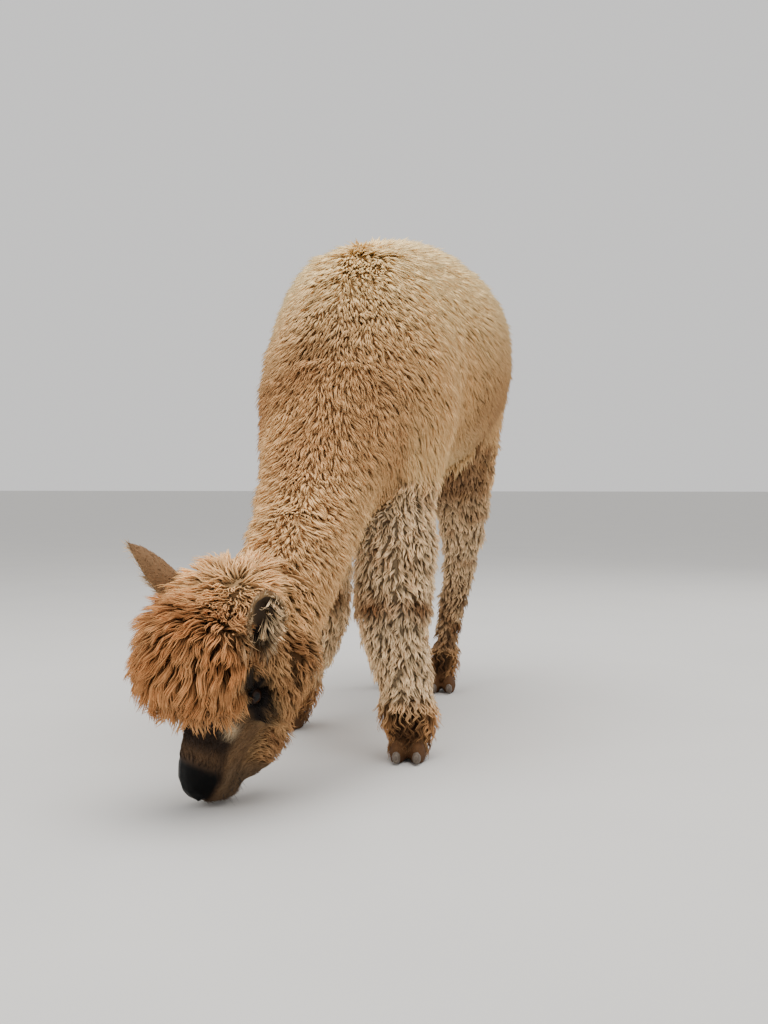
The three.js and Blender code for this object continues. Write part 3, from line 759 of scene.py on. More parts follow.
def partings(points, shares):
    """How far the wool parts at each place: on the withers, the neck and the cheeks, and in loose seams."""
    trunk, neck = shares[:, KINDS.index("trunk")], shares[:, KINDS.index("neck")]
    stray = waves(points, 0.055, 51)
    rings = np.linalg.norm(points - np.array((-0.03, -0.19, 0.56)), axis=1) / 0.024 + stray * 0.35
    arcs = ramp(np.cos(2 * math.pi * rings), 0.55, 0.95) * ramp(waves(points, 0.10, 52), -0.5, 0.8)
    arcs *= near(points, np.array((-0.01, -0.07, 0.80)), 0.30)
    seams = 1 - ramp(np.abs(waves(points, 0.060, 53)), 0.05, 0.22)
    seams *= ramp(waves(points, 0.16, 54), -0.6, 0.9)
    bands = points @ unit(np.array((-0.05, -0.75, -0.66))) / 0.019 + waves(points, 0.06, 55) * 0.45
    bands = ramp(np.cos(2 * math.pi * bands), 0.45, 0.95) * ramp(waves(points, 0.07, 56), -0.7, 0.7)
    body = 0.5 * (trunk * np.maximum(arcs, 0.6 * seams) + neck * np.maximum(0.8 * bands, 0.4 * seams))
    left, up, nose = head_space(points)
    flat = np.stack((up, nose), 1)
    seam = np.min([distance_to_span(flat, *span) for span in zip(CHEEK_SEAM, CHEEK_SEAM[1:])], axis=0)
    return np.clip(np.maximum(body, (1 - ramp(seam, 2.5, 8)) * (np.abs(left) > 35)), 0, 1)


# ---------------------------------------------------------------- materials


def add_node(tree, kind, **inputs):
    """A node, with values or links for its inputs by name."""
    node = tree.nodes.new(kind)
    for name, value in inputs.items():
        socket = node.inputs[name.replace("_", " ").strip()] if isinstance(name, str) else node.inputs[name]
        if isinstance(value, bpy.types.NodeSocket):
            tree.links.new(value, socket)
        else:
            socket.default_value = value
    return node


def math_node(tree, operation, first, second=None):
    """A sum, product or other operation on one or two values."""
    node = tree.nodes.new("ShaderNodeMath")
    node.operation = operation
    for socket, value in zip(node.inputs, (first, second)):
        if value is None:
            continue
        if isinstance(value, bpy.types.NodeSocket):
            tree.links.new(value, socket)
        else:
            socket.default_value = value
    return node.outputs[0]


def mix_colour(tree, amount, first, second, blend="MIX"):
    """Two colours mixed."""
    node = tree.nodes.new("ShaderNodeMix")
    node.data_type = "RGBA"
    node.blend_type = blend
    for index, value in ((0, amount), (6, first), (7, second)):
        if isinstance(value, bpy.types.NodeSocket):
            tree.links.new(value, node.inputs[index])
        else:
            node.inputs[index].default_value = value if index == 0 else (*value, 1)
    return node.outputs[2]


def new_group(name, inputs, outputs):
    """A shader node group with these sockets, and its input and output nodes."""
    group = bpy.data.node_groups.new(name, "ShaderNodeTree")
    for label, kind, value in inputs:
        socket = group.interface.new_socket(label, in_out="INPUT", socket_type=kind)
        if value is not None:
            socket.default_value = value
    for label, kind in outputs:
        group.interface.new_socket(label, in_out="OUTPUT", socket_type=kind)
    return group, group.nodes.new("NodeGroupInput"), group.nodes.new("NodeGroupOutput")


def fleece_tone():
    """Group: a lock's colour from its marking, with painted shade darkening the root and painted light paling the
    tip.
    """
    name = "Fleece tone"
    if name in bpy.data.node_groups:
        return bpy.data.node_groups[name]
    group, into, out = new_group(
        name,
        (
            ("Tint", "NodeSocketColor", (0.5, 0.4, 0.3, 1)),
            ("Along", "NodeSocketFloat", 0.5),
            ("Lock", "NodeSocketFloat", 0.5),
            ("Root shade", "NodeSocketFloat", 0.4),
            ("Tip light", "NodeSocketFloat", 1.2),
            ("Mottle", "NodeSocketFloat", 0.2),
        ),
        (("Color", "NodeSocketColor"),),
    )
    place = group.nodes.new("ShaderNodeTexCoord").outputs["Object"]
    speck = add_node(group, "ShaderNodeTexNoise", Vector=place, Scale=95.0, Detail=3.0).outputs["Fac"]
    shade = group.nodes.new("ShaderNodeMapRange")
    shade.interpolation_type = "SMOOTHSTEP"
    group.links.new(into.outputs["Along"], shade.inputs["Value"])
    shade.inputs["From Max"].default_value = 0.85
    group.links.new(into.outputs["Root shade"], shade.inputs["To Min"])
    group.links.new(into.outputs["Tip light"], shade.inputs["To Max"])
    swing = math_node(group, "SUBTRACT", into.outputs["Lock"], 0.5)
    grain = math_node(group, "SUBTRACT", speck, 0.5)
    both = math_node(group, "ADD", swing, grain)
    spread = math_node(group, "MULTIPLY", both, into.outputs["Mottle"])
    level = math_node(group, "MULTIPLY", shade.outputs["Result"], math_node(group, "ADD", spread, 1.0))
    scale = group.nodes.new("ShaderNodeVectorMath")
    scale.operation = "SCALE"
    group.links.new(into.outputs["Tint"], scale.inputs[0])
    group.links.new(level, scale.inputs["Scale"])
    group.links.new(scale.outputs["Vector"], out.inputs["Color"])
    return group


def new_material(name):
    """A material with a Principled shader, and its tree and shader."""
    material = bpy.data.materials.new(name)
    material.use_nodes = True
    return material, material.node_tree, material.node_tree.nodes["Principled BSDF"]


def place_group(tree, group, **inputs):
    """A node group placed in a material."""
    node = tree.nodes.new("ShaderNodeGroup")
    node.node_tree = group
    for name, value in inputs.items():
        socket = node.inputs[name.replace("_", " ")]
        if isinstance(value, bpy.types.NodeSocket):
            tree.links.new(value, socket)
        else:
            socket.default_value = value
    return node


def attribute(tree, name, output):
    """An attribute of the mesh."""
    node = tree.nodes.new("ShaderNodeAttribute")
    node.attribute_name = name
    return node.outputs[output]


def fleece_material(name, root_shade, tip_light, mottle, roughness):
    """One kind of coat: its mottle and roughness, with painted shade at the root and painted light at the tip."""
    material, tree, shader = new_material(name)
    tone = place_group(
        tree,
        fleece_tone(),
        Tint=attribute(tree, "tint", "Color"),
        Along=attribute(tree, "along", "Fac"),
        Lock=attribute(tree, "lock", "Fac"),
        Root_shade=root_shade,
        Tip_light=tip_light,
        Mottle=mottle,
    )
    tree.links.new(tone.outputs["Color"], shader.inputs["Base Color"])
    shader.inputs["Roughness"].default_value = roughness
    shader.inputs["Specular IOR Level"].default_value = 0.2
    return material


def skin_material():
    """The hide under the fleece, darker there as painted shade, and the short hair of the face, ears and toes."""
    material, tree, shader = new_material("hide")
    tint = attribute(tree, "tint", "Color")
    bare = attribute(tree, "bare", "Fac")
    place = tree.nodes.new("ShaderNodeTexCoord").outputs["Object"]
    mottle = add_node(tree, "ShaderNodeTexNoise", Vector=place, Scale=140.0, Detail=5.0).outputs["Fac"]
    hair = add_node(tree, "ShaderNodeTexNoise", Vector=place, Scale=900.0, Detail=3.0).outputs["Fac"]
    # Painted shade: skin under the fleece is kept darker than bare skin, as it shows only in the shaded gaps
    # between tufts.
    dark = math_node(tree, "ADD", math_node(tree, "MULTIPLY", bare, 0.22), 0.55)
    level = math_node(tree, "ADD", dark, math_node(tree, "MULTIPLY", mottle, 0.35))
    scale = tree.nodes.new("ShaderNodeVectorMath")
    scale.operation = "SCALE"
    tree.links.new(tint, scale.inputs[0])
    tree.links.new(level, scale.inputs["Scale"])
    tree.links.new(scale.outputs["Vector"], shader.inputs["Base Color"])
    bump = add_node(tree, "ShaderNodeBump", Height=hair, Strength=0.35)
    bump.inputs["Distance"].default_value = 0.6 * MM
    tree.links.new(bump.outputs["Normal"], shader.inputs["Normal"])
    rough = add_node(tree, "ShaderNodeMapRange", Value=mottle)
    rough.inputs["To Min"].default_value = 0.6
    rough.inputs["To Max"].default_value = 0.9
    damp = math_node(tree, "MULTIPLY", attribute(tree, "leather", "Fac"), 0.32)
    tree.links.new(math_node(tree, "SUBTRACT", rough.outputs["Result"], damp), shader.inputs["Roughness"])
    gloss = math_node(tree, "MULTIPLY", attribute(tree, "leather", "Fac"), 0.10)
    tree.links.new(math_node(tree, "SUBTRACT", 0.15, gloss), shader.inputs["Specular IOR Level"])
    return material


def eye_material():
    """A deep brown iris round a long dark pupil, under a wet surface."""
    material, tree, shader = new_material("eye_globe")
    iris = attribute(tree, "iris", "Fac")
    pupil = attribute(tree, "pupil", "Fac")
    place = tree.nodes.new("ShaderNodeTexCoord").outputs["Object"]
    fibre = add_node(tree, "ShaderNodeTexNoise", Vector=place, Scale=1400.0, Detail=4.0).outputs["Fac"]
    brown = mix_colour(tree, fibre, rgb(26, 15, 9), rgb(58, 34, 18))
    outer = mix_colour(tree, iris, rgb(22, 16, 14), brown)
    tree.links.new(mix_colour(tree, pupil, outer, rgb(3, 3, 5)), shader.inputs["Base Color"])
    shader.inputs["Roughness"].default_value = 0.22
    shader.inputs["Specular IOR Level"].default_value = 0.12
    shader.inputs["Coat Weight"].default_value = 0.2
    shader.inputs["Coat Roughness"].default_value = 0.03
    return material


def nail_material():
    """Pale horn with growth rings, browner towards the quick."""
    material, tree, shader = new_material("nail_horn")
    place = tree.nodes.new("ShaderNodeTexCoord").outputs["Object"]
    rings = add_node(tree, "ShaderNodeTexWave", Vector=place, Scale=120.0, Distortion=2.5, Detail=2.0)
    rings.bands_direction = "Y"
    stain = add_node(tree, "ShaderNodeTexNoise", Vector=place, Scale=90.0, Detail=4.0).outputs["Fac"]
    horn = mix_colour(tree, rings.outputs["Fac"], rgb(98, 86, 74), rgb(134, 120, 104))
    tree.links.new(mix_colour(tree, stain, rgb(64, 52, 43), horn), shader.inputs["Base Color"])
    bump = add_node(tree, "ShaderNodeBump", Height=rings.outputs["Fac"], Strength=0.3)
    bump.inputs["Distance"].default_value = 0.4 * MM
    tree.links.new(bump.outputs["Normal"], shader.inputs["Normal"])
    rough = add_node(tree, "ShaderNodeMapRange", Value=stain)
    rough.inputs["To Min"].default_value = 0.35
    rough.inputs["To Max"].default_value = 0.6
    tree.links.new(rough.outputs["Result"], shader.inputs["Roughness"])
    return material


# ---------------------------------------------------------------- tufts


def unwrap(points, faces):
    """A place on a flat unwrap of these triangles for each of their corners."""
    mesh = mesh_from("unwrap", points, faces)
    item = add_object("unwrap", mesh)
    bpy.context.view_layer.objects.active = item
    item.select_set(True)
    mesh.uv_layers.new(name="OFBake")
    bpy.ops.object.mode_set(mode="EDIT")
    bpy.ops.mesh.select_all(action="SELECT")
    bpy.ops.uv.smart_project(angle_limit=math.radians(66), island_margin=0.004, area_weight=0.3)
    bpy.ops.object.mode_set(mode="OBJECT")
    flat = np.empty(len(mesh.loops) * 2, np.float32)
    mesh.uv_layers[0].data.foreach_get("uv", flat)
    bpy.data.objects.remove(item)
    bpy.data.meshes.remove(mesh)
    return flat.reshape(-1, 3, 2)


def scatter(pelt, chosen, rng):
    """Even places over the chosen triangles of the pelt, closer where the coat is finer."""
    faces = pelt.faces[chosen]
    area = np.linalg.norm(face_normals(pelt.points, faces), axis=1) / 2
    spacing = pelt.growth["spacing"][faces].mean(1) * MM
    index = np.repeat(np.arange(len(faces)), rng.poisson(2.6 * area / spacing**2))
    rng.shuffle(index)
    weights = rng.dirichlet((1, 1, 1), len(index))
    places = (pelt.points[faces[index]] * weights[:, :, None]).sum(1)
    step = np.maximum(0.5, np.round(spacing[index] / MM * 4) / 4) * MM
    cells = np.floor(places / step[:, None]).astype(np.int64)
    key = ((cells[:, 0] * 73856093) ^ (cells[:, 1] * 19349663) ^ (cells[:, 2] * 83492791)) * 64
    key += np.round(step / MM * 4).astype(np.int64)
    kept = np.unique(key, return_index=True)[1]
    return index[kept], weights[kept]


def gather_locks(places, size, rng):
    """For each place, the place in the middle of its lock."""
    order = rng.permutation(len(places))
    cells = np.floor(places[order] / size[order][:, None]).astype(np.int64)
    first = order[np.unique(cells @ np.array((73856093, 19349663, 83492791)), return_index=True)[1]]
    tree = KDTree(len(first))
    for index in first:
        tree.insert(places[index], int(index))
    tree.balance()
    return np.array([tree.find(place)[1] for place in places])


def grow_tufts(pelt, chosen, seed, rings, fullness):
    """Closed three-sided tufts over the chosen triangles: points, faces, places on the unwrap and values."""
    rng = np.random.default_rng(seed)
    index, weights = scatter(pelt, chosen, rng)
    corners = pelt.faces[chosen][index]
    flat = (unwrap_part(pelt, chosen)[index] * weights[:, :, None]).sum(1)

    def at(values):
        picked = values[corners]
        return (picked * (weights[:, :, None] if picked.ndim == 3 else weights)).sum(1)

    root = at(pelt.points)
    out = unit(at(pelt.normals))
    lie = at(pelt.lie)
    lie = unit(lie - out * (lie * out).sum(1, keepdims=True))
    side = np.cross(lie, out)
    growth = {name: at(values) for name, values in pelt.growth.items()}
    tint = at(pelt.coat_tint)
    count = len(root)
    lock = gather_locks(root, growth["lock"] * MM, rng)

    swing = waves(root, 0.05, seed + 1) * 0.22 + waves(root, 0.016, seed + 2) * 0.16
    lie = lie * np.cos(swing)[:, None] + side * np.sin(swing)[:, None]
    side = np.cross(lie, out)
    lean_root = np.radians(growth["lean_root"] + waves(root, 0.02, seed + 3) * 5)
    lean_tip = np.radians(growth["lean_tip"])
    lift = (np.sin(lean_tip) - np.sin(lean_root)) / (lean_tip - lean_root)
    lock_size = rng.uniform(0.86, 1.12, count)[lock]
    length = growth["height"] * MM / lift * lock_size * rng.uniform(0.88, 1.08, count)
    parted = partings(root, at(pelt.kinds))
    length = np.maximum(length * (1 - 0.65 * parted), 6.0 * MM) * fullness
    # Painted shade: tufts in the partings darkened, for the shade in the cracks where the wool parts.
    tint = tint * (1 - 0.62 * parted)[:, None]

    share = np.linspace(0, 1, rings + 1)
    path = np.zeros((count, rings + 1, 3))
    path[:, 0] = root - out * (1.5 * MM)
    for step in range(rings):
        lean = lean_root + (lean_tip - lean_root) * (share[step] + share[step + 1]) / 2
        go = out * np.cos(lean)[:, None] + lie * np.sin(lean)[:, None]
        path[:, step + 1] = path[:, step] + go * (length / rings)[:, None]
    phase = (rng.uniform(0, 2 * math.pi, count))[lock]
    turns = growth["turns"] * (0.8 + 0.4 * rng.random(count))[lock]
    for step in range(1, rings + 1):
        angle = 2 * math.pi * turns * share[step] + phase
        size = growth["curl"] * MM * min(1.0, share[step] * 1.6)
        path[:, step] += side * (np.sin(angle) * size)[:, None] + out * (np.cos(angle) * size * 0.5)[:, None]
    for step in range(1, rings + 1):
        pull = growth["draw"] * share[step] ** 0.8
        path[:, step] += (path[lock, step] - path[:, step]) * pull[:, None]
    spread = rng.normal(size=(count, 3)) * (growth["splay"] * MM)[:, None]
    path += spread[:, None] * (share**1.3)[None, :, None]
    over = np.maximum(over_eyes(path[:, -1]), 0.8 * over_eyes(path[:, rings // 2]))
    path[:, 1:] = path[:, :1] + (path[:, 1:] - path[:, :1]) * (1 - 0.78 * over)[:, None, None]

    go = unit(np.concatenate((path[:, 1:2] - path[:, :1], path[:, 2:] - path[:, :-2]), 1))
    across = unit(np.cross(go, out[:, None]) + 1e-9)
    above = np.cross(across, go)
    taper = np.interp(share[:-1], (0, 0.25, 0.6, 1), (0.75, 1.0, 0.72, 0.1))
    half = growth["width"][:, None] * MM / 2 * taper[None] * rng.uniform(0.8, 1.2, count)[:, None]
    points = np.empty((count, rings * 3 + 1, 3))
    for corner in range(3):
        angle = math.radians(90 + 120 * corner)
        offset = across * math.cos(angle) + above * (math.sin(angle) * 0.6)
        points[:, corner:-1:3] = path[:, :-1] + offset * half[:, :, None]
    points[:, -1] = path[:, -1]
    faces, spots = tuft_pattern(rings)
    every = faces[None] + (np.arange(count) * (rings * 3 + 1))[:, None, None]
    uv = flat[:, None, None] + spots[None]
    along = np.append(np.repeat(share[:-1], 3), 1.0)
    values = {
        "along": np.tile(along, count),
        "lock": np.repeat((rng.random(count)[lock] * 0.6 + rng.random(count) * 0.4), rings * 3 + 1),
        "tint": np.repeat(tint, rings * 3 + 1, axis=0),
    }
    return points.reshape(-1, 3), every.reshape(-1, 3), uv.reshape(-1, 2), values


PATCH = 0.003


def tuft_pattern(rings):
    """Corners of one tuft's triangles, and the places of those corners in its patch of the unwrap."""
    faces = [(0, 2, 1)]
    spots = [((-0.5, -0.5), (0.5, -0.5), (0.0, -0.46))]
    for step in range(rings):
        low = -0.45 + 0.95 * step / rings
        high = -0.45 + 0.95 * (step + 1) / rings
        for corner in range(3):
            here, beside = step * 3 + corner, step * 3 + (corner + 1) % 3
            left, right = corner / 3 - 0.5, (corner + 1) / 3 - 0.5
            if step == rings - 1:
                faces.append((here, beside, rings * 3))
                spots.append(((left, low), (right, low), ((left + right) / 2, high)))
                continue
            faces += [(here, beside, beside + 3), (here, beside + 3, here + 3)]
            spots += [((left, low), (right, low), (right, high)), ((left, low), (right, high), (left, high))]
    return np.array(faces), np.array(spots) * PATCH


def unwrap_part(pelt, chosen):
    """The unwrap of the chosen triangles of the pelt."""
    faces = pelt.faces[chosen]
    used, corners = np.unique(faces, return_inverse=True)
    return unwrap(pelt.points[used], corners.reshape(-1, 3))


def coat_piece(name, pelt, chosen, seed, rings, material):
    """One piece of the coat, riding on the body."""
    fullness = bpy.context.scene.alpaca_coat.fullness
    points, faces, uv, values = grow_tufts(pelt, chosen, seed, rings, fullness)
    if len(faces) > PIECE_TRIANGLES:
        raise RuntimeError(f"{name} has {len(faces)} triangles, over {PIECE_TRIANGLES}")
    points[:, 2] = np.maximum(points[:, 2], 0.4 * MM)
    mesh = mesh_from(name, points, faces)
    for label, value in values.items():
        set_attribute(mesh, label, value)
    layer = mesh.uv_layers.new(name="OFBake")
    layer.data.foreach_set("uv", np.ascontiguousarray(uv, np.float32).ravel())
    mesh.materials.append(material)
    item = add_object(name, mesh)
    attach(item, "root")
    print(f"{name}: {len(faces)} triangles")
    return item


MADE = {}


def pelt_now():
    """The pelt, made once."""
    if "pelt" not in MADE:
        raise RuntimeError("make the skin first")
    return MADE["pelt"]


def material_once(name, *finish):
    """A fleece material, made once."""
    if name not in bpy.data.materials:
        return fleece_material(name, *finish)
    return bpy.data.materials[name]


def leading_kind(pelt):
    """The kind that is strongest at each triangle."""
    return pelt.kinds[pelt.faces].mean(1).argmax(1)


def middle(pelt):
    """Middles of the pelt's triangles."""
    return pelt.points[pelt.faces].mean(1)


def is_kind(pelt, *names):
    """Triangles whose strongest kind is one of these."""
    return np.isin(leading_kind(pelt), [KINDS.index(name) for name in names])


# ---------------------------------------------------------------- settings and operators


def colour_setting(name, description, red, green, blue):
    """A colour property, from its screen values of 0 to 255."""
    return bpy.props.FloatVectorProperty(
        name=name, description=description, subtype="COLOR", default=tuple(rgb(red, green, blue)), min=0, max=1
    )


class AlpacaCoatSettings(bpy.types.PropertyGroup):
    """Size and colours of the coat."""

    fullness: bpy.props.FloatProperty(
        name="Fullness", description="Length of the fleece against its usual length", subtype="FACTOR",
        default=1.0, min=0.5, max=1.2,
    )
    fawn: colour_setting("Fawn", "Fleece of the trunk and neck", 232, 188, 132)
    cream: colour_setting("Cream", "Fleece along the back", 255, 224, 166)
    ginger: colour_setting("Ginger", "Topknot, cheeks and foot curls", 186, 127, 77)
    milk: colour_setting("Milk", "Fleece of the legs", 234, 205, 164)
    umber: colour_setting("Umber", "Dark curls of the hind legs and the side of the face", 132, 92, 58)
    charcoal: colour_setting("Charcoal", "Bridge of the nose", 44, 32, 25)


class AlpacaStageSettings(bpy.types.PropertyGroup):
    """Camera and light."""

    camera_place: bpy.props.FloatVectorProperty(
        name="Camera place", description="Where the camera stands", subtype="TRANSLATION", unit="LENGTH",
        default=(0.4240, -2.2607, 0.460),
    )
    heading: bpy.props.FloatProperty(
        name="Heading", description="Turn of the view to the left of the model's length", subtype="ANGLE",
        default=math.radians(10.0),
    )
    tilt: bpy.props.FloatProperty(
        name="Tilt", description="Dip of the view below level", subtype="ANGLE", default=math.radians(1.37)
    )
    lens: bpy.props.FloatProperty(name="Lens", description="Focal length", unit="CAMERA", default=44.0)
    floor: bpy.props.FloatVectorProperty(
        name="Floor", description="Colour of the floor", subtype="COLOR", default=(0.62, 0.61, 0.59), min=0, max=1
    )


class ALPACA_OT_stage(bpy.types.Operator):
    """Lays the floor and sets the light and the camera"""

    bl_idname = "alpaca.stage"
    bl_label = "Stage"

    def execute(self, context):
        settings = context.scene.alpaca_stage
        camera = bpy.data.cameras.new("camera")
        camera.lens = settings.lens
        camera.sensor_width = 36
        camera.clip_start = 0.05
        view = add_object("camera", camera)
        view.location = settings.camera_place
        view.rotation_euler = (math.pi / 2 - settings.tilt, 0, settings.heading)
        context.scene.camera = view
        lay_floor(settings.floor)
        hang_light("sky", (0.2, -0.5, 3.4), (0, 0, 0.4), 3.0, 135, (1.0, 0.99, 0.97))
        hang_light("window", (-2.4, -2.8, 1.8), (0, 0, 0.4), 2.0, 42, (1.0, 0.98, 0.95))
        hang_light("rear", (1.8, 2.8, 2.4), (0, 0.2, 0.5), 2.0, 40, (1.0, 0.98, 0.95))
        world = bpy.data.worlds.new("studio")
        world.use_nodes = True
        back = world.node_tree.nodes["Background"]
        back.inputs["Color"].default_value = (0.92, 0.91, 0.90, 1)
        back.inputs["Strength"].default_value = 0.98
        context.scene.world = world
        return {"FINISHED"}


def lay_floor(colour):
    """A wide pale floor with a faint grain."""
    work = bmesh.new()
    bmesh.ops.create_grid(work, x_segments=8, y_segments=8, size=60)
    mesh = bpy.data.meshes.new("floor")
    work.to_mesh(mesh)
    work.free()
    material, tree, shader = new_material("floor")
    place = tree.nodes.new("ShaderNodeTexCoord").outputs["Object"]
    grain = add_node(tree, "ShaderNodeTexNoise", Vector=place, Scale=3.0, Detail=6.0).outputs["Fac"]
    pale = np.array(colour)
    tree.links.new(mix_colour(tree, grain, pale * 0.96, pale * 1.04), shader.inputs["Base Color"])
    shader.inputs["Roughness"].default_value = 0.85
    mesh.materials.append(material)
    add_object("floor", mesh)


def hang_light(name, place, target, size, power, colour):
    """A square soft light aimed at a target."""
    light = bpy.data.lights.new(name, "AREA")
    light.size = size
    light.energy = power
    light.color = colour
    item = add_object(name, light)
    item.location = place
    aim = Vector(target) - Vector(place)
    item.rotation_euler = aim.to_track_quat("-Z", "Y").to_euler()


class ALPACA_OT_skin(bpy.types.Operator):
    """Fuses the flesh into one skin, set in by the coat's depth"""

    bl_idname = "alpaca.skin"
    bl_label = "Skin"

    def execute(self, context):
        pelt = grow_pelt()
        MADE["pelt"] = pelt
        mesh = mesh_from("skin", pelt.points, pelt.faces)
        # Painted shade in the gaps between locks: the skin under the topknot, cheeks, legs and feet is darkened;
        # under the trunk and neck it is lightened, painted light against the deep shade between the tufts.
        painted_gap_light_and_shade = 1 - 0.5 * pelt.share("crown", "cheek", "foreleg", "hindleg", "foot")
        painted_gap_light_and_shade = painted_gap_light_and_shade + 0.5 * pelt.share("trunk", "neck")
        set_attribute(mesh, "tint", pelt.tint * painted_gap_light_and_shade[:, None])
        set_attribute(mesh, "bare", pelt.share("face", "socket", "ear", "lining", "toe"))
        set_attribute(mesh, "leather", nose_pad(pelt.points))
        mesh.materials.append(skin_material())
        skin = add_object("skin", mesh)
        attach(skin, "root")
        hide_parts(*FLESH_NODES)
        print(f"skin: {len(pelt.faces)} triangles")
        return {"FINISHED"}


class ALPACA_OT_eyes(bpy.types.Operator):
    """Makes the two eyeballs"""

    bl_idname = "alpaca.eyes"
    bl_label = "Eyes"

    def execute(self, context):
        material = eye_material()
        for side, centre in EYES.items():
            item = eyeball(side, centre)
            item.data.materials.append(material)
            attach(item, "root")
            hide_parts(f"eye_{side}")
        return {"FINISHED"}


def eyeball(side, centre):
    """A globe with a low cornea, turned outwards and a little forward."""
    out, fore, high = eye_axes(side)
    fore = np.cross(high, out)
    work = bmesh.new()
    bmesh.ops.create_uvsphere(work, u_segments=48, v_segments=32, radius=1)
    bmesh.ops.triangulate(work, faces=work.faces)
    local = np.array([v.co for v in work.verts])
    faces = np.array([[v.index for v in f.verts] for f in work.faces])
    work.free()
    reach = np.hypot(local[:, 0], local[:, 1])
    front = local[:, 2] > 0
    cornea = ramp(-reach, -0.62, -0.30) * front
    radius = EYE_RADIUS * (1 + 0.035 * cornea)
    points = centre + (local @ np.stack((fore, high, out))) * radius[:, None]
    mesh = mesh_from(f"eyeball_{side}", points, faces)
    set_attribute(mesh, "iris", ramp(-reach, -0.66, -0.60) * front)
    pupil = np.hypot(local[:, 0] / 0.38, local[:, 1] / 0.20)
    set_attribute(mesh, "pupil", ramp(-pupil, -1.08, -0.92) * front)
    return add_object(f"eyeball_{side}", mesh)


def strand_group():
    """Node group: a tapered strand on each point, along its way and as long as its reach."""
    name = "Strands"
    if name in bpy.data.node_groups:
        return bpy.data.node_groups[name]
    group = bpy.data.node_groups.new(name, "GeometryNodeTree")
    group.interface.new_socket("Geometry", in_out="INPUT", socket_type="NodeSocketGeometry")
    for label, default in (("Thickness", 0.0005), ("Taper", 0.2)):
        group.interface.new_socket(label, in_out="INPUT", socket_type="NodeSocketFloat").default_value = default
    group.interface.new_socket("Material", in_out="INPUT", socket_type="NodeSocketMaterial")
    group.interface.new_socket("Geometry", in_out="OUTPUT", socket_type="NodeSocketGeometry")
    into = group.nodes.new("NodeGroupInput")
    cone = add_node(group, "GeometryNodeMeshCone", Vertices=5, Depth=1.0)
    group.links.new(into.outputs["Thickness"], cone.inputs["Radius Bottom"])
    group.links.new(math_node(group, "MULTIPLY", into.outputs["Thickness"], into.outputs["Taper"]),
                    cone.inputs["Radius Top"])
    way = add_node(group, "GeometryNodeInputNamedAttribute", Name="way")
    way.data_type = "FLOAT_VECTOR"
    reach = add_node(group, "GeometryNodeInputNamedAttribute", Name="reach")
    turn = add_node(group, "FunctionNodeAlignRotationToVector", Vector=way.outputs["Attribute"])
    size = add_node(group, "ShaderNodeCombineXYZ", X=1.0, Y=1.0, Z=reach.outputs["Attribute"])
    place = group.nodes.new("GeometryNodeInstanceOnPoints")
    group.links.new(into.outputs["Geometry"], place.inputs["Points"])
    group.links.new(cone.outputs["Mesh"], place.inputs["Instance"])
    group.links.new(turn.outputs["Rotation"], place.inputs["Rotation"])
    group.links.new(size.outputs["Vector"], place.inputs["Scale"])
    real = add_node(group, "GeometryNodeRealizeInstances", Geometry=place.outputs["Instances"])
    dress = add_node(group, "GeometryNodeSetMaterial", Geometry=real.outputs["Geometry"])
    group.links.new(into.outputs["Material"], dress.inputs["Material"])
    group.links.new(dress.outputs["Geometry"], group.nodes.new("NodeGroupOutput").inputs["Geometry"])
    return group


def strands(name, roots, ways, reaches, thickness, material):
    """One piece of straight hairs, each from its root along its way."""
    points = np.array(roots)
    mesh = bpy.data.meshes.new(name)
    mesh.vertices.add(len(points))
    mesh.vertices.foreach_set("co", points.astype(np.float32).ravel())
    way = mesh.attributes.new("way", "FLOAT_VECTOR", "POINT")
    way.data.foreach_set("vector", unit(np.array(ways)).astype(np.float32).ravel())
    mesh.attributes.new("reach", "FLOAT", "POINT").data.foreach_set("value", np.array(reaches, np.float32))
    item = add_object(name, mesh)
    group = strand_group()
    grow = item.modifiers.new("grow", "NODES")
    grow.node_group = group
    chosen = {"Thickness": thickness, "Taper": 0.2, "Material": material}
    for socket in group.interface.items_tree:
        if socket.name in chosen:
            grow[socket.identifier] = chosen[socket.name]
    built = modified(item)
    item.modifiers.clear()
    item.data = built
    bpy.data.meshes.remove(mesh)
    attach(item, "root")
    return item


class ALPACA_OT_lashes(bpy.types.Operator):
    """Sets the lashes over and under the eyes and the whiskers of the lips"""

    bl_idname = "alpaca.lashes"
    bl_label = "Lashes and whiskers"

    def execute(self, context):
        rng = np.random.default_rng(SEED + 6)
        material, _, shader = new_material("lash")
        shader.inputs["Base Color"].default_value = (*BLACK, 1)
        shader.inputs["Roughness"].default_value = 0.4
        roots, ways, reaches = [], [], []
        for side, centre in EYES.items():
            out, fore, high = eye_axes(side)
            for share in np.linspace(-1, 1, 46):
                for upper in (True, False):
                    across = share * 0.82 + rng.normal(0, 0.015)
                    rise = 0.50 * math.sqrt(max(0.0, 1 - (across / 0.9) ** 2))
                    lift = (rise if upper else -rise * 0.82) - 0.12 * across
                    ray = unit(fore * across + high * lift + out)
                    root = centre + ray * (EYE_RADIUS + 1.8 * MM)
                    bend = out * 0.9 + fore * share * 0.7 + high * (0.75 if upper else -0.75)
                    roots.append(root)
                    ways.append(bend + rng.normal(0, 0.12, 3))
                    reaches.append(rng.uniform(13, 19) * MM if upper else rng.uniform(6, 10) * MM)
        strands("lashes", roots, ways, reaches, 0.42 * MM, material)
        tree = BVHTree.FromPolygons(pelt_now().points.tolist(), pelt_now().faces.tolist())
        roots, ways, reaches = [], [], []
        for _ in range(70):
            across = rng.uniform(-34, 34)
            start = head_point(across, rng.uniform(-34, -4), rng.uniform(112, 150))
            found, normal, _, _ = tree.find_nearest(start)
            way = unit(np.array(normal) + HEAD_NOSE * 0.5 + rng.normal(0, 0.2, 3))
            reach = rng.uniform(10, 24) * MM
            if found.z + way[2] * reach > 1 * MM:
                roots.append(np.array(found))
                ways.append(way)
                reaches.append(reach)
        strands("whiskers", roots, ways, reaches, 0.22 * MM, material)
        return {"FINISHED"}


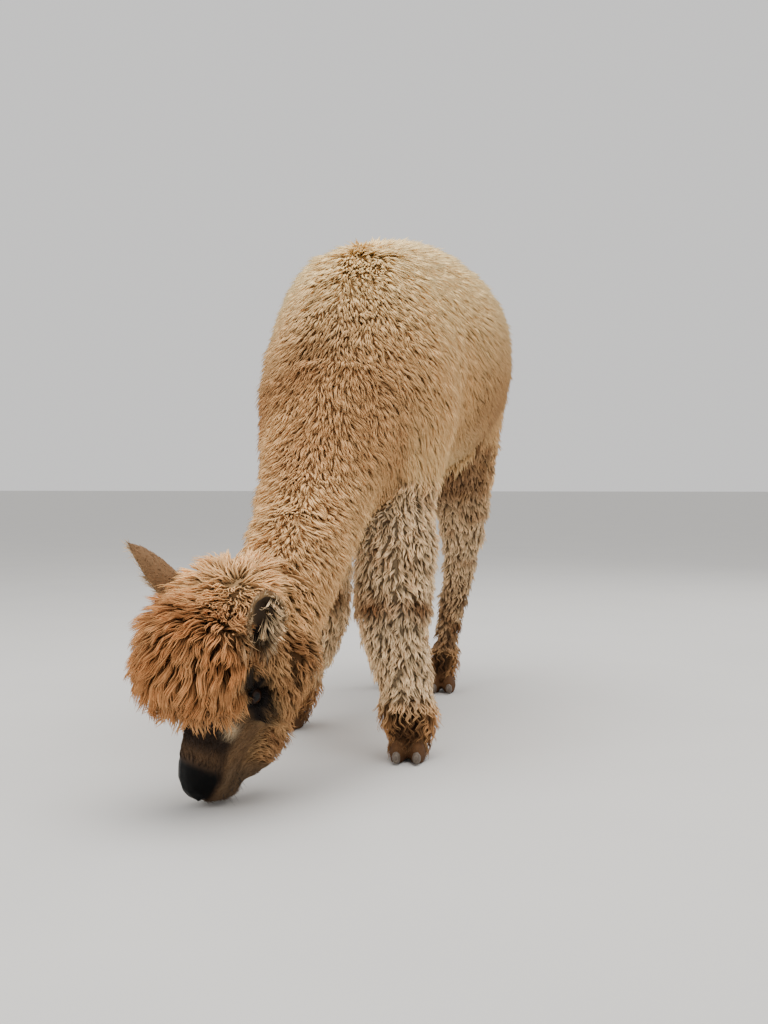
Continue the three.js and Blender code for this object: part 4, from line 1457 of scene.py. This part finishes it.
class ALPACA_OT_nails(bpy.types.Operator):
    """Makes the eight toenails"""

    bl_idname = "alpaca.nails"
    bl_label = "Nails"

    def execute(self, context):
        material = nail_material()
        for name in NAIL_NODES:
            work = bmesh.new()
            work.from_mesh(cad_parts[name].data)
            bmesh.ops.remove_doubles(work, verts=work.verts, dist=0.05 * MM)
            mesh = bpy.data.meshes.new(name + "_horn")
            work.to_mesh(mesh)
            work.free()
            rough = add_object(name + "_rough", mesh)
            remesh = rough.modifiers.new("even", "REMESH")
            remesh.mode = "VOXEL"
            remesh.voxel_size = 0.9 * MM
            soften = rough.modifiers.new("soften", "SMOOTH")
            soften.factor = 0.5
            soften.iterations = 24
            points, faces = mesh_arrays(modified(rough))
            bpy.data.objects.remove(rough)
            centre = node_centre(name)
            points = centre + (points - centre) * (1.2, 1.0, 1.4)
            item = add_object(name + "_horn", mesh_from(name + "_horn", points, faces))
            item.data.materials.append(material)
            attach(item, "root")
            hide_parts(name)
        return {"FINISHED"}


class ALPACA_OT_head_coat(bpy.types.Operator):
    """Lays the topknot, the cheek wool and the short hair of the face and ears"""

    bl_idname = "alpaca.head_coat"
    bl_label = "Head coat"

    def execute(self, context):
        pelt = pelt_now()
        place = middle(pelt)
        left = head_space(place)[0]
        crown = is_kind(pelt, "crown")
        wool = material_once("topknot wool", 0.26, 1.42, 0.55, 0.85)
        short = material_once("short hair", 0.70, 1.25, 0.6, 0.7)
        coat_piece("topknot_left", pelt, crown & (left > -4), 11, 5, wool)
        coat_piece("topknot_right", pelt, crown & (left <= -4), 12, 5, wool)
        coat_piece("cheek_wool", pelt, is_kind(pelt, "cheek"), 13, 4, wool)
        coat_piece("jaw_wool", pelt, is_kind(pelt, "beard"), 17, 3, wool)
        short_haired = is_kind(pelt, "face", "socket") & (nose_pad(place) < 0.5)
        coat_piece("face_hair", pelt, short_haired, 14, 2, short)
        coat_piece("ear_hair", pelt, is_kind(pelt, "ear"), 15, 2, short)
        outer = is_kind(pelt, "lining") & outer_half(place)
        coat_piece("ear_lining", pelt, outer, 16, 5, wool)
        return {"FINISHED"}


class ALPACA_OT_body_coat(bpy.types.Operator):
    """Lays the fleece of the neck, the trunk and the tail"""

    bl_idname = "alpaca.body_coat"
    bl_label = "Body coat"

    def execute(self, context):
        pelt = pelt_now()
        place = middle(pelt)
        wool = material_once("body wool", 0.78, 1.12, 0.20, 0.92)
        neck = is_kind(pelt, "neck")
        trunk = is_kind(pelt, "trunk")
        coat_piece("neck_fleece_left", pelt, neck & (place[:, 0] > -0.035), 21, 3, wool)
        coat_piece("neck_fleece_right", pelt, neck & (place[:, 0] <= -0.035), 22, 3, wool)
        for seed, side, half in ((23, "left", place[:, 0] > 0), (24, "right", place[:, 0] <= 0)):
            fore = trunk & half & (place[:, 1] < 0.10)
            rear = trunk & half & (place[:, 1] >= 0.10)
            coat_piece(f"fore_fleece_{side}", pelt, fore, seed, 2, wool)
            coat_piece(f"rear_fleece_{side}", pelt, rear, seed + 4, 2, wool)
        coat_piece("tail_fleece", pelt, is_kind(pelt, "tail"), 31, 4, wool)
        return {"FINISHED"}


class ALPACA_OT_leg_coat(bpy.types.Operator):
    """Lays the curly fleece of the legs, the ringlets of the feet and the short hair of the toes"""

    bl_idname = "alpaca.leg_coat"
    bl_label = "Leg coat"

    def execute(self, context):
        pelt = pelt_now()
        place = middle(pelt)
        wool = material_once("leg wool", 0.30, 1.36, 0.70, 0.9)
        short = material_once("short hair", 0.70, 1.25, 0.6, 0.7)
        for seed, side, half in ((41, "left", place[:, 0] > 0), (42, "right", place[:, 0] <= 0)):
            fore = is_kind(pelt, "foreleg") & half
            hind = is_kind(pelt, "hindleg") & half
            coat_piece(f"foreleg_fleece_{side}", pelt, fore, seed, 3, wool)
            coat_piece(f"hindleg_fleece_{side}", pelt, hind, seed + 2, 3, wool)
        coat_piece("foot_curls", pelt, is_kind(pelt, "foot"), 45, 8, wool)
        coat_piece("toe_hair", pelt, is_kind(pelt, "toe") & (place[:, 2] > 3 * MM), 46, 2, short)
        return {"FINISHED"}


class ALPACA_PT_panel(bpy.types.Panel):
    """Lists the pieces of the alpaca"""

    bl_idname = "ALPACA_PT_panel"
    bl_label = "Alpaca"
    bl_space_type = "VIEW_3D"
    bl_region_type = "UI"
    bl_category = "Alpaca"

    def draw(self, context):
        layout = self.layout
        for operator in OPERATORS:
            layout.operator(operator.bl_idname)
        for name in ("fullness", "fawn", "cream", "ginger", "milk", "umber", "charcoal"):
            layout.prop(context.scene.alpaca_coat, name)
        for name in ("camera_place", "heading", "tilt", "lens", "floor"):
            layout.prop(context.scene.alpaca_stage, name)


OPERATORS = (
    ALPACA_OT_stage,
    ALPACA_OT_skin,
    ALPACA_OT_eyes,
    ALPACA_OT_lashes,
    ALPACA_OT_nails,
    ALPACA_OT_head_coat,
    ALPACA_OT_body_coat,
    ALPACA_OT_leg_coat,
)
CLASSES = (AlpacaCoatSettings, AlpacaStageSettings, *OPERATORS, ALPACA_PT_panel)


def register():
    """Registers the classes and the settings."""
    for cls in CLASSES:
        bpy.utils.register_class(cls)
    bpy.types.Scene.alpaca_coat = bpy.props.PointerProperty(type=AlpacaCoatSettings)
    bpy.types.Scene.alpaca_stage = bpy.props.PointerProperty(type=AlpacaStageSettings)


def unregister():
    """Takes them away again."""
    del bpy.types.Scene.alpaca_stage
    del bpy.types.Scene.alpaca_coat
    for cls in reversed(CLASSES):
        bpy.utils.unregister_class(cls)


def main():
    """Builds the whole model."""
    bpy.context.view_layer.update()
    register()
    bpy.ops.alpaca.stage()
    bpy.ops.alpaca.skin()
    bpy.ops.alpaca.eyes()
    bpy.ops.alpaca.lashes()
    bpy.ops.alpaca.nails()
    bpy.ops.alpaca.head_coat()
    bpy.ops.alpaca.body_coat()
    bpy.ops.alpaca.leg_coat()


if __name__ == "__main__":
    main()
